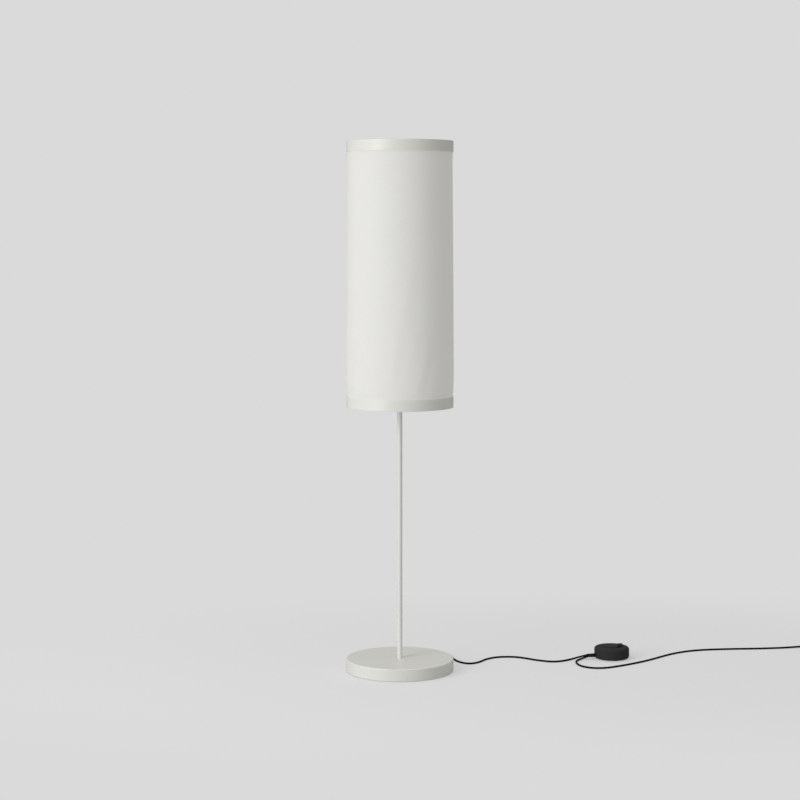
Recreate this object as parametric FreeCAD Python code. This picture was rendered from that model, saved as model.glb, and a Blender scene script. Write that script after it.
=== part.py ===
import FreeCAD, Part
import math
import os
from FreeCAD import Vector

# Column floor lamp: a round weighted foot, a thin stem, and a tall cloth shade stretched between two
# painted steel bands, with two bulbs inside it and a black dimmer on the cord.
# Millimetres.  +Z is up, the origin is the middle of the foot's underside, and the front is -Y.

# ---------------------------------------------------------------- whole lamp
LAMP_HEIGHT = 1380.0
SHADE_LENGTH = 694.0
SHADE_D = 280.0
FOOT_D = 280.0
FOOT_HEIGHT = 32.0
RUN_GAP = 0.05            # radial clearance of a shaft, screw or stud in its hole
SEAT_GAP = 0.3            # clearance where one curved or soft surface lies against another

# ---------------------------------------------------------------- foot
PAD_THICK = 1.5
PAD_INSET = 6.0           # from the cover's outside to the felt's edge
PLATE_THICK = 1.5
COVER_WALL = 2.0
COVER_EDGE_R = 2.6
SKIRT_LIFT = 1.0          # the cover's rim stands this far above the floor
WEIGHT_DISC = 13.0
WEIGHT_RIM = 14.0
SADDLE_MARGIN = 4.0       # of a clamp's seat past its screws
CASTING_R = 4.0
BOSS_D = 15.0
BOSS_INSET = 62.0         # from the foot's edge to the bosses that take the plate's screws
PLATE_SCREW_COUNT = 3
PLATE_SCREW_D = 4.0
PLATE_SCREW_LENGTH = 12.0
PLATE_SCREW_POINT = 1.0   # chamfer at its tip
NUT_WELL_D = 30.0
NUT_WELL_DEPTH = 7.0

# ---------------------------------------------------------------- stem
STEM_D = 13.0
STEM_WALL = 1.5
STEM_TOP_BELOW = 24.0     # the stem ends this far under the top of the lamp
STUD_THREAD_GRIP = 30.0   # length of the foot's stud inside the stem
STUD_BORE = 6.4
STUD_TAIL = 1.2           # the stud stands this far past its nut
STEM_NUT_AF = 17.0
STEM_NUT_THICK = 4.0
WASHER_D = 26.0
WASHER_THICK = 1.6
HUB_STUD_D = 8.0
HUB_STUD_GRIP = 16.0
FINIAL_D = 19.0
FINIAL_HEIGHT = 10.0
FINIAL_GRIP_COUNT = 8

# ---------------------------------------------------------------- cord and its reliefs
CORD_D = 5.0
CORD_EXIT_AZIMUTH = 75.0  # where the cord leaves the foot, at its back
CORD_EXIT_HEIGHT = 9.5
RELIEF_TAIL = 25.0
RELIEF_ROOT_D = 10.6
RELIEF_TIP_D = 7.2
RELIEF_GROOVE_COUNT = 4   # ring grooves along every cord relief
RELIEF_GROOVE_DEPTH = 0.7
RELIEF_NECK_D = 9.0
RELIEF_FLANGE_D = 12.6
RELIEF_FLANGE = 2.0
LEAD_BEND_R = 9.5
CLAMP_THICK = 3.0
CLAMP_WIDTH = 9.0
CLAMP_SPAN = 14.0         # between the two screws of a cord clamp
CLAMP_INSET = 36.0        # from the foot's edge to its cord clamp
CLAMP_SCREW_D = 3.0
CLAMP_SCREW_LENGTH = 7.0

# ---------------------------------------------------------------- shade
BAND_HEIGHT = 29.0
BAND_THICK = 1.5
BAND_LIP = 5.0
CLOTH_THICK = 1.2
CLOTH_FALL = 2.6          # the slack cloth's radius past its hem's, low on the shade
CLOTH_FALL_AT = 0.21      # share of the shade's length, from below, where it is largest
HOOP_HEIGHT = 20.0
HOOP_THICK = 1.6
HOOP_INSET = 4.0          # from the end of the shade to the hoop's edge
ARM_D = 5.0
ARM_COUNT = 3
ARM_FIRST_AZIMUTH = 30.0
HUB_D = 24.0
HUB_HEIGHT = 8.0
BAND_SCREW_D = 3.0
BAND_SCREW_HEAD_D = 6.0
BAND_SCREW_HEAD = 1.6
COLLAR_D = 24.0
COLLAR_HEIGHT = 10.0
SET_SCREW_D = 4.0
SET_SCREW_STANDS = 1.0

# ---------------------------------------------------------------- lamp arms, holders and bulbs
LOW_ARM_ABOVE = 84.0      # the lower arm's top above the bottom of the shade
HIGH_ARM_BELOW = 315.0    # the upper arm's top below the top of the lamp
BULB_OFFSET = 43.0
ARM_COLLAR_D = 23.0
ARM_COLLAR_HEIGHT = 14.0
ARM_PLATE = 4.0
ARM_PAD_D = 26.0
ARM_RIB = 5.0
NIPPLE_D = 10.0
NIPPLE_BORE = 6.4
NIPPLE_ABOVE = 9.0
NIPPLE_BELOW = 5.0
HOLDER_NUT_AF = 14.0
HOLDER_NUT_THICK = 3.0
HOLDER_D = 39.0
HOLDER_HEIGHT = 54.0
HOLDER_FOOT_D = 24.0
HOLDER_WALL = 2.4
HOLDER_FLOOR = 24.0       # height of the solid insert that carries the contacts
HOLDER_TAPER_LOW = 9.0    # the foot widens to the body between these two heights
HOLDER_TAPER_HIGH = 20.0
HOLDER_RING = 1.0         # how far the ring round the body stands out
HOLDER_RING_AT = 35.0     # height of its middle
HOLDER_RING_WIDTH = 4.0
CONTACT_D = 7.0
HOLDER_LEAD_D = 3.6
HOLDER_LEAD_DROP = 24.0   # the lead leaves the stem this far under the arm
HOLDER_LEAD_BEND_R = 11.0
CAP_D = 26.2
CAP_LENGTH = 25.0
CAP_TIP = 3.0
CAP_RING_COUNT = 4
CAP_RING_PITCH = 3.6
SLEEVE_WALL = 0.6
SLEEVE_HEIGHT = 23.0
BULB_D = 60.0
BULB_NECK_D = 42.0
BULB_LENGTH = 110.0       # with its cap
BULB_WALL = 1.2

# ---------------------------------------------------------------- dimmer
DIMMER_X = 568.3
DIMMER_Y = 144.0
DIMMER_YAW = 12.0
DIMMER_D = 93.0
DIMMER_HEIGHT = 32.2
DIMMER_SPLIT = 13.0       # height of the seam between base and cover
DIMMER_WALL = 2.2
DIMMER_CROWN = 1.2        # the cover's top rises this much from its shoulder to its middle
DIMMER_CROWN_R = 30.0     # of the soft bend where the top's slope meets its flat middle
DIMMER_SHOULDER_R = 7.0
DIMMER_EDGE_R = 6.5       # of the base's lower edge
DIMMER_FOOT_LIFT = 1.0
DIMMER_FOOT_D = 9.0
DIMMER_FOOT_THICK = 1.8
DIMMER_FOOT_RING = 35.0
PILLAR_RING = 37.5
PILLAR_D = 7.0
PILLAR_COUNT = 4
CASE_SCREW_D = 3.0
CASE_SCREW_LENGTH = 14.0  # below its head
CASE_SCREW_HEAD = 1.0
CASE_SCREW_SINK = 1.5     # depth of the head's seat in the base
POST_D = 8.0
KNOB_ORBIT = 23.0
KNOB_AZIMUTH = -30.0      # of the knob at rest, from the dimmer's own +X
KNOB_SWEEP = 140.0        # the knob's travel from rest, clockwise seen from above
KNOB_D = 12.5
KNOB_HEIGHT = 7.6
KNOB_LIFT = 0.5
KNOB_STEM_D = 6.0
KNOB_DISH = 0.9           # the middle of the knob's top lies this much lower than its rim
KNOB_FLUTE_COUNT = 16
KNOB_FLUTE_R = 0.7
KNOB_FLUTE_DEPTH = 0.4
WIPER_BLADE = 0.4
WIPER_WIDTH = 4.0
SLOT_WIDTH = 6.8
SLOT_PLAY_DEG = 2.0
GROOVE_DEPTH = 0.7        # of the shallow groove round the slot
GROOVE_WIDTH = 13.6
CARRIER_R = 31.0
CARRIER_THICK = 1.6
CARRIER_HUB_D = 14.0
CARRIER_HUB = 6.0
CARRIER_DROP = 0.6        # under the cover's roof
TRACK_R = 28.0
TRACK_BORE_D = 18.0
TRACK_THICK = 1.6
TRACK_DROP = 3.2          # from the carrier's underside to the track's face
BOARD_THICK = 1.6
BOARD_HEIGHT = 5.4
BOARD_CLEAR = 0.9         # round the posts that pass through the board
DIMMER_CORD_GAP = 13.0    # between the two cords where they enter
DIMMER_CORD_HEIGHT = 9.6
DIMMER_RELIEF_TAIL = 20.0
DIMMER_RELIEF_D = 7.4
DIMMER_FLANGE_R = 4.3
DIMMER_FLANGE = 1.5
RELIEF_STEP = 0.6         # the relief's neck is this much slimmer than its tail, in radius
DIMMER_CLAMP_AT = 34.5    # distance of the clamp bar from the dimmer's axis
DIMMER_CLAMP_SPAN = 23.2  # between the two posts it lies on
DIMMER_CLAMP_THICK = 2.0
STAND_D = 4.4             # of the posts under the track, the board and the clamp bar
TRACK_STANDS = (60, 180, 300)
TRACK_STAND_RING = 24.0
BOARD_STANDS = ((-9, 22), (-9, -22), (34, 15), (34, -15))
BOARD_REAR = -14.0        # edge of the board towards the cords
BOARD_FRONT = 39.0
BOARD_HALF_WIDTH = 29.0
CHOKE_X = 18.0
CHOKE_D = 17.0
CHOKE_BORE_D = 6.4
CHOKE_UNDER_TRACK = 1.0
CAPACITOR_X = 34.0
CAPACITOR_SIZE = (6.0, 16.0, 11.0)
TERMINAL_SIZE = (10.0, 20.0, 7.5)
TERMINAL_WELL_D = 3.6

# ---------------------------------------------------------------- put-away coil, tie and plug
COIL_TURNS = 5.25
COIL_MID_R = 30.0
COIL_PITCH = 5.7          # from turn to turn, and from layer to layer
COIL_X = 1150.0
COIL_Y = 241.0
COIL_START_AZIMUTH = 101.0
TIE_THICK = 1.0
TIE_WIDTH = 10.0
TIE_AZIMUTH = 215.0
PLUG_WIDTH = 35.0
PLUG_THICK = 13.7
PLUG_LENGTH = 33.0
PLUG_NECK_WIDTH = 15.0
PLUG_RELIEF_TAIL = 26.0
PLUG_RELIEF_ROOT_D = 9.6
PIN_D = 4.0
PIN_LENGTH = 19.0
PIN_SPACING = 18.6
PIN_BURIED = 12.0
PLUG_EDGE_R = 1.1
PLUG_WAIST = 2.2          # the grip is this much narrower than the face, each side
PLUG_GROOVE_COUNT = 3
PLUG_GROOVE_WIDTH = 1.4
PLUG_GROOVE_PITCH = 3.2
PLUG_GROOVE_DEPTH = 0.8

# Routes of the two free stretches, seen from above: x, y and the height of the cord's underside.
ROUTE_TO_DIMMER = [
    (79, 209, 2.2), (111, 203, 0), (132, 174, 0), (138.2, 147, 0), (141.3, 121.2, 0),
    (144.8, 103.3, 0), (149.3, 90, 0), (159, 75.5, 0), (171.5, 66, 0), (186.5, 63.2, 0),
    (200, 67, 0), (211.2, 77.2, 0), (221.6, 95.6, 0), (233.5, 118, 0), (261.7, 145, 0),
    (306, 147.5, 0), (338, 128, 0), (361, 107.5, 0), (398, 87.1, 0), (427, 90.3, 0),
    (450.2, 105.6, 0), (462, 117, 0.8), (473.5, 126.1, 3)]
ROUTE_TO_PLUG = [
    (476.8, 110.5, 3), (470.2, 95.5, 0.5), (467.8, 78, 0), (470.2, 56, 0), (480, 32, 0), (505, 13, 0),
    (537, 13, 0), (570, 32, 0), (606, 58, 0), (640, 87, 0), (672, 116, 0), (702, 149, 0),
    (734, 183, 0), (774, 213, 0), (820, 233, 0), (868, 241, 0), (920, 247, 0), (978, 250, 0),
    (1028, 256.8, 0), (1066, 263.6, 0.3)]
EXIT_RUN = 27.0           # the cord's first run, straight out of the foot's relief
DIMMER_RUN = 16.5         # and its run straight into or out of the dimmer's relief
COIL_RUN = 42.0           # and its last run, straight into the coil
TAIL_RUN = 15.0           # length of each of the runs from the coil to the plug
TAIL_TURN_DEG = 6.0       # and the turn between two of them, away from the coil

# ---------------------------------------------------------------- sizes that follow
FOOT_R = FOOT_D / 2
CLAMP_REACH = FOOT_R - CLAMP_INSET
BOSS_REACH = FOOT_R - BOSS_INSET
SHADE_R = SHADE_D / 2
STEM_R = STEM_D / 2
CORD_R = CORD_D / 2
SHADE_BOTTOM = LAMP_HEIGHT - SHADE_LENGTH
STEM_TOP = LAMP_HEIGHT - STEM_TOP_BELOW
LOW_ARM_HEIGHT = SHADE_BOTTOM + LOW_ARM_ABOVE
HIGH_ARM_HEIGHT = LAMP_HEIGHT - HIGH_ARM_BELOW
STEM_BORE = STEM_D - 2 * STEM_WALL
STUD_D = STEM_BORE - 2 * RUN_GAP
PLATE_TOP = PAD_THICK + PLATE_THICK
COVER_ROOF = FOOT_HEIGHT - COVER_WALL
DISC_UNDER = COVER_ROOF - WEIGHT_DISC
WEIGHT_R = FOOT_R - COVER_WALL - SEAT_GAP
NUT_SEAT = DISC_UNDER + NUT_WELL_DEPTH
STUD_BOTTOM = NUT_SEAT - WASHER_THICK - STEM_NUT_THICK - STUD_TAIL
CLOTH_HEM_R = SHADE_R - BAND_THICK - SEAT_GAP
HOOP_R = CLOTH_HEM_R - CLOTH_THICK - SEAT_GAP
HIGH_HOOP_BOTTOM = LAMP_HEIGHT - HOOP_INSET - HOOP_HEIGHT
LOW_HOOP_BOTTOM = SHADE_BOTTOM + HOOP_INSET
LOW_HUB_BOTTOM = LOW_HOOP_BOTTOM + (HOOP_HEIGHT - HUB_HEIGHT) / 2
HOLDER_BORE_R = HOLDER_D / 2 - HOLDER_WALL
SLEEVE_R = CAP_D / 2 + SEAT_GAP + SLEEVE_WALL
DIMMER_R = DIMMER_D / 2
DIMMER_ROOF = DIMMER_HEIGHT - DIMMER_WALL
CARRIER_TOP = DIMMER_ROOF - DIMMER_CROWN - CARRIER_DROP
TRACK_TOP = CARRIER_TOP - CARRIER_THICK - TRACK_DROP
DIMMER_FLOOR = DIMMER_FOOT_LIFT + DIMMER_WALL
HUB_UNDER = CARRIER_TOP - CARRIER_HUB
SHOULDER_R = POST_D / 2 + 1.5
COIL_END_R = COIL_MID_R + COIL_PITCH * COIL_TURNS / 4
COIL_CORE_R = COIL_MID_R - COIL_PITCH * COIL_TURNS / 4
COIL_LOW = TIE_THICK + SEAT_GAP + CORD_R
COIL_HIGH = COIL_LOW + COIL_PITCH


# ================================================================ drawing helpers
def rounded_wire(corners, place):
    """Closed wire through corners (u, v) or (u, v, radius); place(u, v) gives each point in space."""
    count = len(corners)
    ends = []
    for index, corner in enumerate(corners):
        here = Vector(corner[0], corner[1], 0)
        radius = corner[2] if len(corner) > 2 else 0
        if not radius:
            ends.append((here, None, here))
            continue
        before = Vector(*corners[index - 1][:2], 0) - here
        after = Vector(*corners[(index + 1) % count][:2], 0) - here
        before.normalize()
        after.normalize()
        half = before.getAngle(after) / 2
        inward = (before + after).normalize()
        reach = radius / math.tan(half)
        middle = here + inward * (radius / math.sin(half) - radius)
        ends.append((here + before * reach, middle, here + after * reach))
    edges = []
    for index, (start, middle, end) in enumerate(ends):
        if middle is not None:
            edges.append(Part.Arc(place(start.x, start.y), place(middle.x, middle.y),
                                  place(end.x, end.y)).toShape())
        following = ends[(index + 1) % count][0]
        if (following - end).Length > 1e-6:
            edges.append(Part.LineSegment(place(end.x, end.y), place(following.x, following.y)).toShape())
    return Part.Wire(edges)


def upright(u, v):
    """A point of a profile drawn as radius and height."""
    return Vector(u, 0, v)


def flat(u, v):
    """A point of an outline drawn on the floor."""
    return Vector(u, v, 0)


def turned(corners):
    """Solid of revolution about Z of a profile given as (radius, height, corner radius)."""
    face = Part.Face(rounded_wire(corners, upright))
    solid = face.revolve(Vector(0, 0, 0), Vector(0, 0, 1), 360)
    return positive(solid)


def positive(shape):
    """The same solid with its faces pointing outwards."""
    if shape.Volume < 0:
        shape.reverse()
    return shape


def prism(corners, bottom, height):
    """An outline on the floor, lifted to bottom and drawn up to its height."""
    face = Part.Face(rounded_wire(corners, flat))
    return positive(face.extrude(Vector(0, 0, height))).translated(Vector(0, 0, bottom))


def rod(radius, start, along, length):
    """Cylinder from a point along a direction."""
    return Part.makeCylinder(radius, length, start, along)


def block(width, depth, height, middle_x=0, middle_y=0, bottom=0):
    """Box centred on a point of the floor plan."""
    corner = Vector(middle_x - width / 2, middle_y - depth / 2, bottom)
    return Part.makeBox(width, depth, height, corner)


def hexagon(across_flats, bottom, height):
    """Hexagonal prism about Z."""
    reach = across_flats / math.sqrt(3)
    corners = [(reach * math.cos(math.radians(60 * k)), reach * math.sin(math.radians(60 * k)))
               for k in range(6)]
    return prism(corners, bottom, height)


def rounded_rectangle(middle_x, middle_y, width, depth, radius):
    """Corners of a rectangle with round corners, for a prism."""
    left, right = middle_x - width / 2, middle_x + width / 2
    front, back = middle_y - depth / 2, middle_y + depth / 2
    return [(left, front, radius), (right, front, radius), (right, back, radius), (left, back, radius)]


def polar(radius, azimuth, height=0):
    """Point at a radius and an azimuth in degrees."""
    angle = math.radians(azimuth)
    return Vector(radius * math.cos(angle), radius * math.sin(angle), height)


def spun(shape, azimuth):
    """Copy turned about Z by an azimuth in degrees."""
    copy = shape.copy()
    copy.rotate(Vector(0, 0, 0), Vector(0, 0, 1), azimuth)
    return copy


def fused(shapes):
    """One solid of several that touch."""
    return shapes[0].fuse(shapes[1:]).removeSplitter()


def cut(shape, tools):
    """A solid with others taken away."""
    return shape.cut(tools) if tools else shape


def save(node, shape):
    """Write one node, and print what it holds."""
    shape.exportStep("parts/" + node + ".step")
    print("%-20s solids %d  volume %.1f  valid %s"
          % (node, len(shape.Solids), shape.Volume, shape.isValid()))


# ================================================================ cords
def tangent_path(points):
    """Straight runs joined by arcs; each arc's radius is 0.45 of its shorter run over tan(half turn)."""
    share = 0.45
    edges = []
    radii = []
    start = points[0]
    for before, here, after in zip(points, points[1:], points[2:]):
        back = before - here
        ahead = after - here
        reach = share * min(back.Length, ahead.Length)
        back.normalize()
        ahead.normalize()
        half_turn = (math.pi - back.getAngle(ahead)) / 2
        radius = reach / math.tan(half_turn)
        inward = (back + ahead).normalize()
        middle = here + inward * (radius / math.cos(half_turn) - radius)
        arc_start = here + back * reach
        arc_end = here + ahead * reach
        edges.append(Part.LineSegment(start, arc_start).toShape())
        edges.append(Part.Arc(arc_start, middle, arc_end).toShape())
        radii.append(radius)
        start = arc_end
    edges.append(Part.LineSegment(start, points[-1]).toShape())
    return Part.Wire(edges), radii


def tube(wire, diameter):
    """Round cord along a wire."""
    first = wire.OrderedEdges[0]
    start = first.valueAt(first.FirstParameter)
    along = first.tangentAt(first.FirstParameter)
    section = Part.Wire(Part.Circle(start, along, diameter / 2).toShape())
    return positive(wire.makePipeShell([section], True, False))


def report_cord(name, wire, solid, diameter, radii):
    """Print a cord's length, its tightest bend, and its volume against section times length."""
    expected = math.pi * diameter ** 2 / 4 * wire.Length
    print("%-20s length %.0f  tightest radius %.1f  volume / (section x length) %.4f"
          % (name, wire.Length, min(radii), solid.Volume / expected))
    print("    radii " + " ".join("%.0f" % radius for radius in radii))


def floor_points(route):
    """Centres of a cord whose underside is at the route's heights."""
    return [Vector(x, y, lift + CORD_R) for x, y, lift in route]


def lamp_exit():
    """Tip of the foot's strain relief and the way the cord leaves it."""
    away = polar(1, CORD_EXIT_AZIMUTH)
    return away * (FOOT_R + RELIEF_TAIL) + Vector(0, 0, CORD_EXIT_HEIGHT), away


def dimmer_exit(side):
    """Tip of one of the dimmer's two strain reliefs (side +1 or -1) and the way the cord leaves it."""
    tip = Vector(-DIMMER_R - DIMMER_RELIEF_TAIL, side * DIMMER_CORD_GAP / 2, DIMMER_CORD_HEIGHT)
    placement = dimmer_place()
    return placement.multVec(tip), placement.Rotation.multVec(Vector(-1, 0, 0))


def coil_point(turn):
    """Centre of the coil's cord after so many turns: in on the low layer, and out on the high one."""
    middle = COIL_TURNS / 2
    past = (turn - middle) * 2 * math.pi
    quarter = math.pi / 2
    if abs(past) < quarter:
        inset = past ** 2 / math.pi + math.pi / 4
        height = COIL_LOW + COIL_PITCH / 2 * (1 + math.sin(past))
    else:
        inset = abs(past)
        height = COIL_LOW if past < 0 else COIL_HIGH
    radius = COIL_CORE_R + COIL_PITCH / (2 * math.pi) * inset
    centre = Vector(COIL_X, COIL_Y, height)
    return centre + polar(radius, COIL_START_AZIMUTH - 360 * turn)


def coil_heading(turn):
    """Direction of the coil's cord after so many turns."""
    step = 1e-4
    return (coil_point(turn + step) - coil_point(turn - step)).normalize()


def biarc(start, start_way, end, end_way):
    """Two tangent arcs in space between two points with given directions."""
    span = end - start
    both = start_way + end_way
    bend = 2 * (1 - start_way.dot(end_way))
    along = span.dot(both)
    reach = (-along + math.sqrt(along ** 2 + bend * span.dot(span))) / bend
    first = start + start_way * reach
    second = end - end_way * reach
    joint = (first + second) * 0.5
    edges = []
    for here, corner, there in ((start, first, joint), (joint, second, end)):
        back = (here - corner).normalize()
        ahead = (there - corner).normalize()
        half_turn = (math.pi - back.getAngle(ahead)) / 2
        radius = reach / math.tan(half_turn)
        inward = (back + ahead).normalize()
        middle = corner + inward * (radius / math.cos(half_turn) - radius)
        edges.append(Part.Arc(here, middle, there).toShape())
    return edges


def coil_wire():
    """The coil's line: a short straight end, biarcs of a quarter turn or less, a short straight end."""
    marks = [quarter / 4 for quarter in range(int(round(COIL_TURNS * 4)) + 1)]
    middle = COIL_TURNS / 2
    marks = sorted(set(marks + [middle - 0.25, middle, middle + 0.25]))
    ways = [coil_heading(mark) for mark in marks]
    points = [coil_point(mark) for mark in marks]
    edges = [Part.LineSegment(points[0] - ways[0] * CORD_D, points[0]).toShape()]
    for index in range(len(marks) - 1):
        edges += biarc(points[index], ways[index], points[index + 1], ways[index + 1])
    edges.append(Part.LineSegment(points[-1], points[-1] + ways[-1] * CORD_D).toShape())
    return Part.Wire(edges)


def coil_self_gap():
    """Least gap between the coil's turns, measured on points along its line."""
    steps = 40
    count = int(COIL_TURNS * steps)
    points = [coil_point(index / steps) for index in range(count + 1)]
    least = min((points[a] - points[b]).Length
                for a in range(count + 1) for b in range(a + steps // 2, count + 1))
    return least - CORD_D


def coil_start():
    """Where the free stretch hands over to the coil, and its direction there."""
    way = coil_heading(0)
    return coil_point(0) - way * CORD_D, way


def coil_finish():
    """Where the coil ends, and its direction there."""
    way = coil_heading(COIL_TURNS)
    return coil_point(COIL_TURNS) + way * CORD_D, way


def tail_points():
    """The short run from the coil to the plug, turning away from the coil and down to the plug."""
    start, way = coil_finish()
    plug_axis = PLUG_THICK / 2
    drop = (start.z - plug_axis) / 2
    points = [start, start + way * TAIL_RUN]
    azimuth = math.degrees(math.atan2(way.y, way.x))
    for height in (plug_axis + drop, plug_axis, plug_axis):
        azimuth += TAIL_TURN_DEG
        following = points[-1] + polar(TAIL_RUN, azimuth)
        following.z = height
        points.append(following)
    return points


def make_cords():
    """The free stretches, the coil and the tail, each from the same lists and formulas."""
    tip, away = lamp_exit()
    into, out = dimmer_exit(+1)
    route = [tip, tip + away * EXIT_RUN, *floor_points(ROUTE_TO_DIMMER), into + out * DIMMER_RUN, into]
    wire, radii = tangent_path(route)
    solid = tube(wire, CORD_D)
    report_cord("cord_to_dimmer", wire, solid, CORD_D, radii)
    save("cord_to_dimmer", solid)

    start, out = dimmer_exit(-1)
    end, way = coil_start()
    route = [start, start + out * DIMMER_RUN, *floor_points(ROUTE_TO_PLUG), end - way * COIL_RUN, end]
    wire, radii = tangent_path(route)
    solid = tube(wire, CORD_D)
    report_cord("cord_to_plug", wire, solid, CORD_D, radii)
    save("cord_to_plug", solid)

    wire = coil_wire()
    solid = tube(wire, CORD_D)
    report_cord("cord_coil", wire, solid, CORD_D, [COIL_CORE_R])
    print("    least gap between turns %.2f" % coil_self_gap())
    save("cord_coil", solid)

    wire, radii = tangent_path(tail_points())
    solid = tube(wire, CORD_D)
    report_cord("cord_tail", wire, solid, CORD_D, radii)
    save("cord_tail", solid)


def make_coil_tie():
    """Strap round the coil's bundle, its end lapped on top; made across +X, then turned to its place."""
    half_width = TIE_WIDTH / 2
    inner = math.sqrt((COIL_CORE_R - CORD_R) ** 2 - half_width ** 2) - SEAT_GAP
    outer = COIL_END_R + CORD_R + SEAT_GAP
    top = COIL_HIGH + CORD_R + SEAT_GAP
    corner_r = 2.0

    def loop(out):
        """Rectangle round the bundle, its side this far outside the strap's inner face."""
        radius = corner_r + out
        left, right, low, high = inner - out, outer + out, TIE_THICK - out, top + out
        return rounded_wire([(left, low, radius), (right, low, radius), (right, high, radius),
                             (left, high, radius)], upright)

    ring = positive(Part.Face([loop(TIE_THICK), loop(0)]).extrude(Vector(0, TIE_WIDTH, 0)))
    lap_length = (outer - inner) * 0.6
    lap = Part.makeBox(lap_length, TIE_WIDTH, TIE_THICK, Vector(inner + 2 * corner_r, 0, top + TIE_THICK))
    strap = fused([ring.translated(Vector(0, -half_width, 0)), lap.translated(Vector(0, -half_width, 0))])
    save("coil_tie", spun(strap, TIE_AZIMUTH).translated(Vector(COIL_X, COIL_Y, 0)))


def make_plug():
    """Flat two-pin plug lying on the floor, its relief on the cord's end and its pins pointing away."""
    points = tail_points()
    end = points[-1]
    way = end - points[-2]
    place = FreeCAD.Placement(end, FreeCAD.Rotation(Vector(1, 0, 0), way))
    neck = PLUG_RELIEF_TAIL
    front = neck + PLUG_LENGTH
    half = PLUG_WIDTH / 2
    waist = half - PLUG_WAIST
    neck_half = PLUG_NECK_WIDTH / 2
    shoulder_x = neck + PLUG_LENGTH * 0.24
    grip_x = neck + PLUG_LENGTH * 0.48
    flare_x = front - PLUG_LENGTH * 0.27
    upper = [(front, half, 1.2), (flare_x, waist, 8), (grip_x, waist, 6), (shoulder_x, neck_half + 1, 4),
             (neck, neck_half, 1.5)]
    outline = [(u, -v, radius) for u, v, radius in reversed(upper)] + upper
    body = prism(outline, -PLUG_THICK / 2, PLUG_THICK)
    soft_edges = [edge for edge in body.Edges
                  if abs(abs(edge.CenterOfMass.z) - PLUG_THICK / 2) < 1e-6]
    body = body.makeFillet(PLUG_EDGE_R, soft_edges)
    holes = [rod(PIN_D / 2 + RUN_GAP, Vector(front - PIN_BURIED, side * PIN_SPACING / 2, 0),
                 Vector(1, 0, 0), PIN_BURIED + 1) for side in (-1, 1)]
    body = cut(body, holes)
    first_groove = neck + PLUG_LENGTH / 2
    grooves = []
    for index in range(PLUG_GROOVE_COUNT):
        for level in (-1, 1):
            groove_bottom = level * PLUG_THICK / 2 - PLUG_GROOVE_DEPTH
            grooves.append(block(PLUG_GROOVE_WIDTH, PLUG_WIDTH, 2 * PLUG_GROOVE_DEPTH,
                                 first_groove + PLUG_GROOVE_PITCH * index, 0, groove_bottom))
    body = cut(body, grooves)

    relief = ribbed_relief(PLUG_RELIEF_ROOT_D, RELIEF_TIP_D, PLUG_RELIEF_TAIL)
    relief.rotate(Vector(0, 0, 0), Vector(0, 1, 0), -90)
    relief.translate(Vector(PLUG_RELIEF_TAIL, 0, 0))

    pins = []
    for side in (-1, 1):
        start = Vector(front - PIN_BURIED, side * PIN_SPACING / 2, 0)
        pin = turned([(0, 0), (PIN_D / 2, 0), (PIN_D / 2, PIN_BURIED + PIN_LENGTH, 1.2),
                      (0, PIN_BURIED + PIN_LENGTH)])
        pin.rotate(Vector(0, 0, 0), Vector(0, 1, 0), 90)
        pins.append(pin.translated(start))
    for node, shape in (("plug_body", body), ("plug_relief", relief), ("plug_pins", Part.Compound(pins))):
        shape = shape.copy()
        shape.Placement = place.multiply(shape.Placement)
        save(node, shape)


def ribbed_relief(root_d, tip_d, length):
    """Tapered sleeve on +Z from its root at 0 to its tip, with ring grooves that let it bend."""
    pitch = length * 0.72 / RELIEF_GROOVE_COUNT
    first = length * 0.14
    depth = RELIEF_GROOVE_DEPTH
    corners = [(0, 0), (root_d / 2, 0)]
    for index in range(RELIEF_GROOVE_COUNT):
        low = first + index * pitch
        for height, sink in ((low, 0), (low, depth), (low + pitch * 0.45, depth), (low + pitch * 0.45, 0)):
            radius = root_d / 2 + (tip_d - root_d) / 2 * height / length
            corners.append((radius - sink, height))
    corners += [(tip_d / 2, length, 0.5), (0, length)]
    return turned(corners)


# ================================================================ foot and stem
def boss_azimuths():
    """Where the plate's screws are; the cord passes between two of them."""
    return [CORD_EXIT_AZIMUTH + 360 / PLATE_SCREW_COUNT * (k + 0.5) for k in range(PLATE_SCREW_COUNT)]


def clamp_screw_points(height):
    """The two screws of the foot's cord clamp, one each side of the cord."""
    along = polar(1, CORD_EXIT_AZIMUTH)
    across = polar(1, CORD_EXIT_AZIMUTH + 90)
    return [along * CLAMP_REACH + across * (side * CLAMP_SPAN / 2) + Vector(0, 0, height)
            for side in (-1, 1)]


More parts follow.
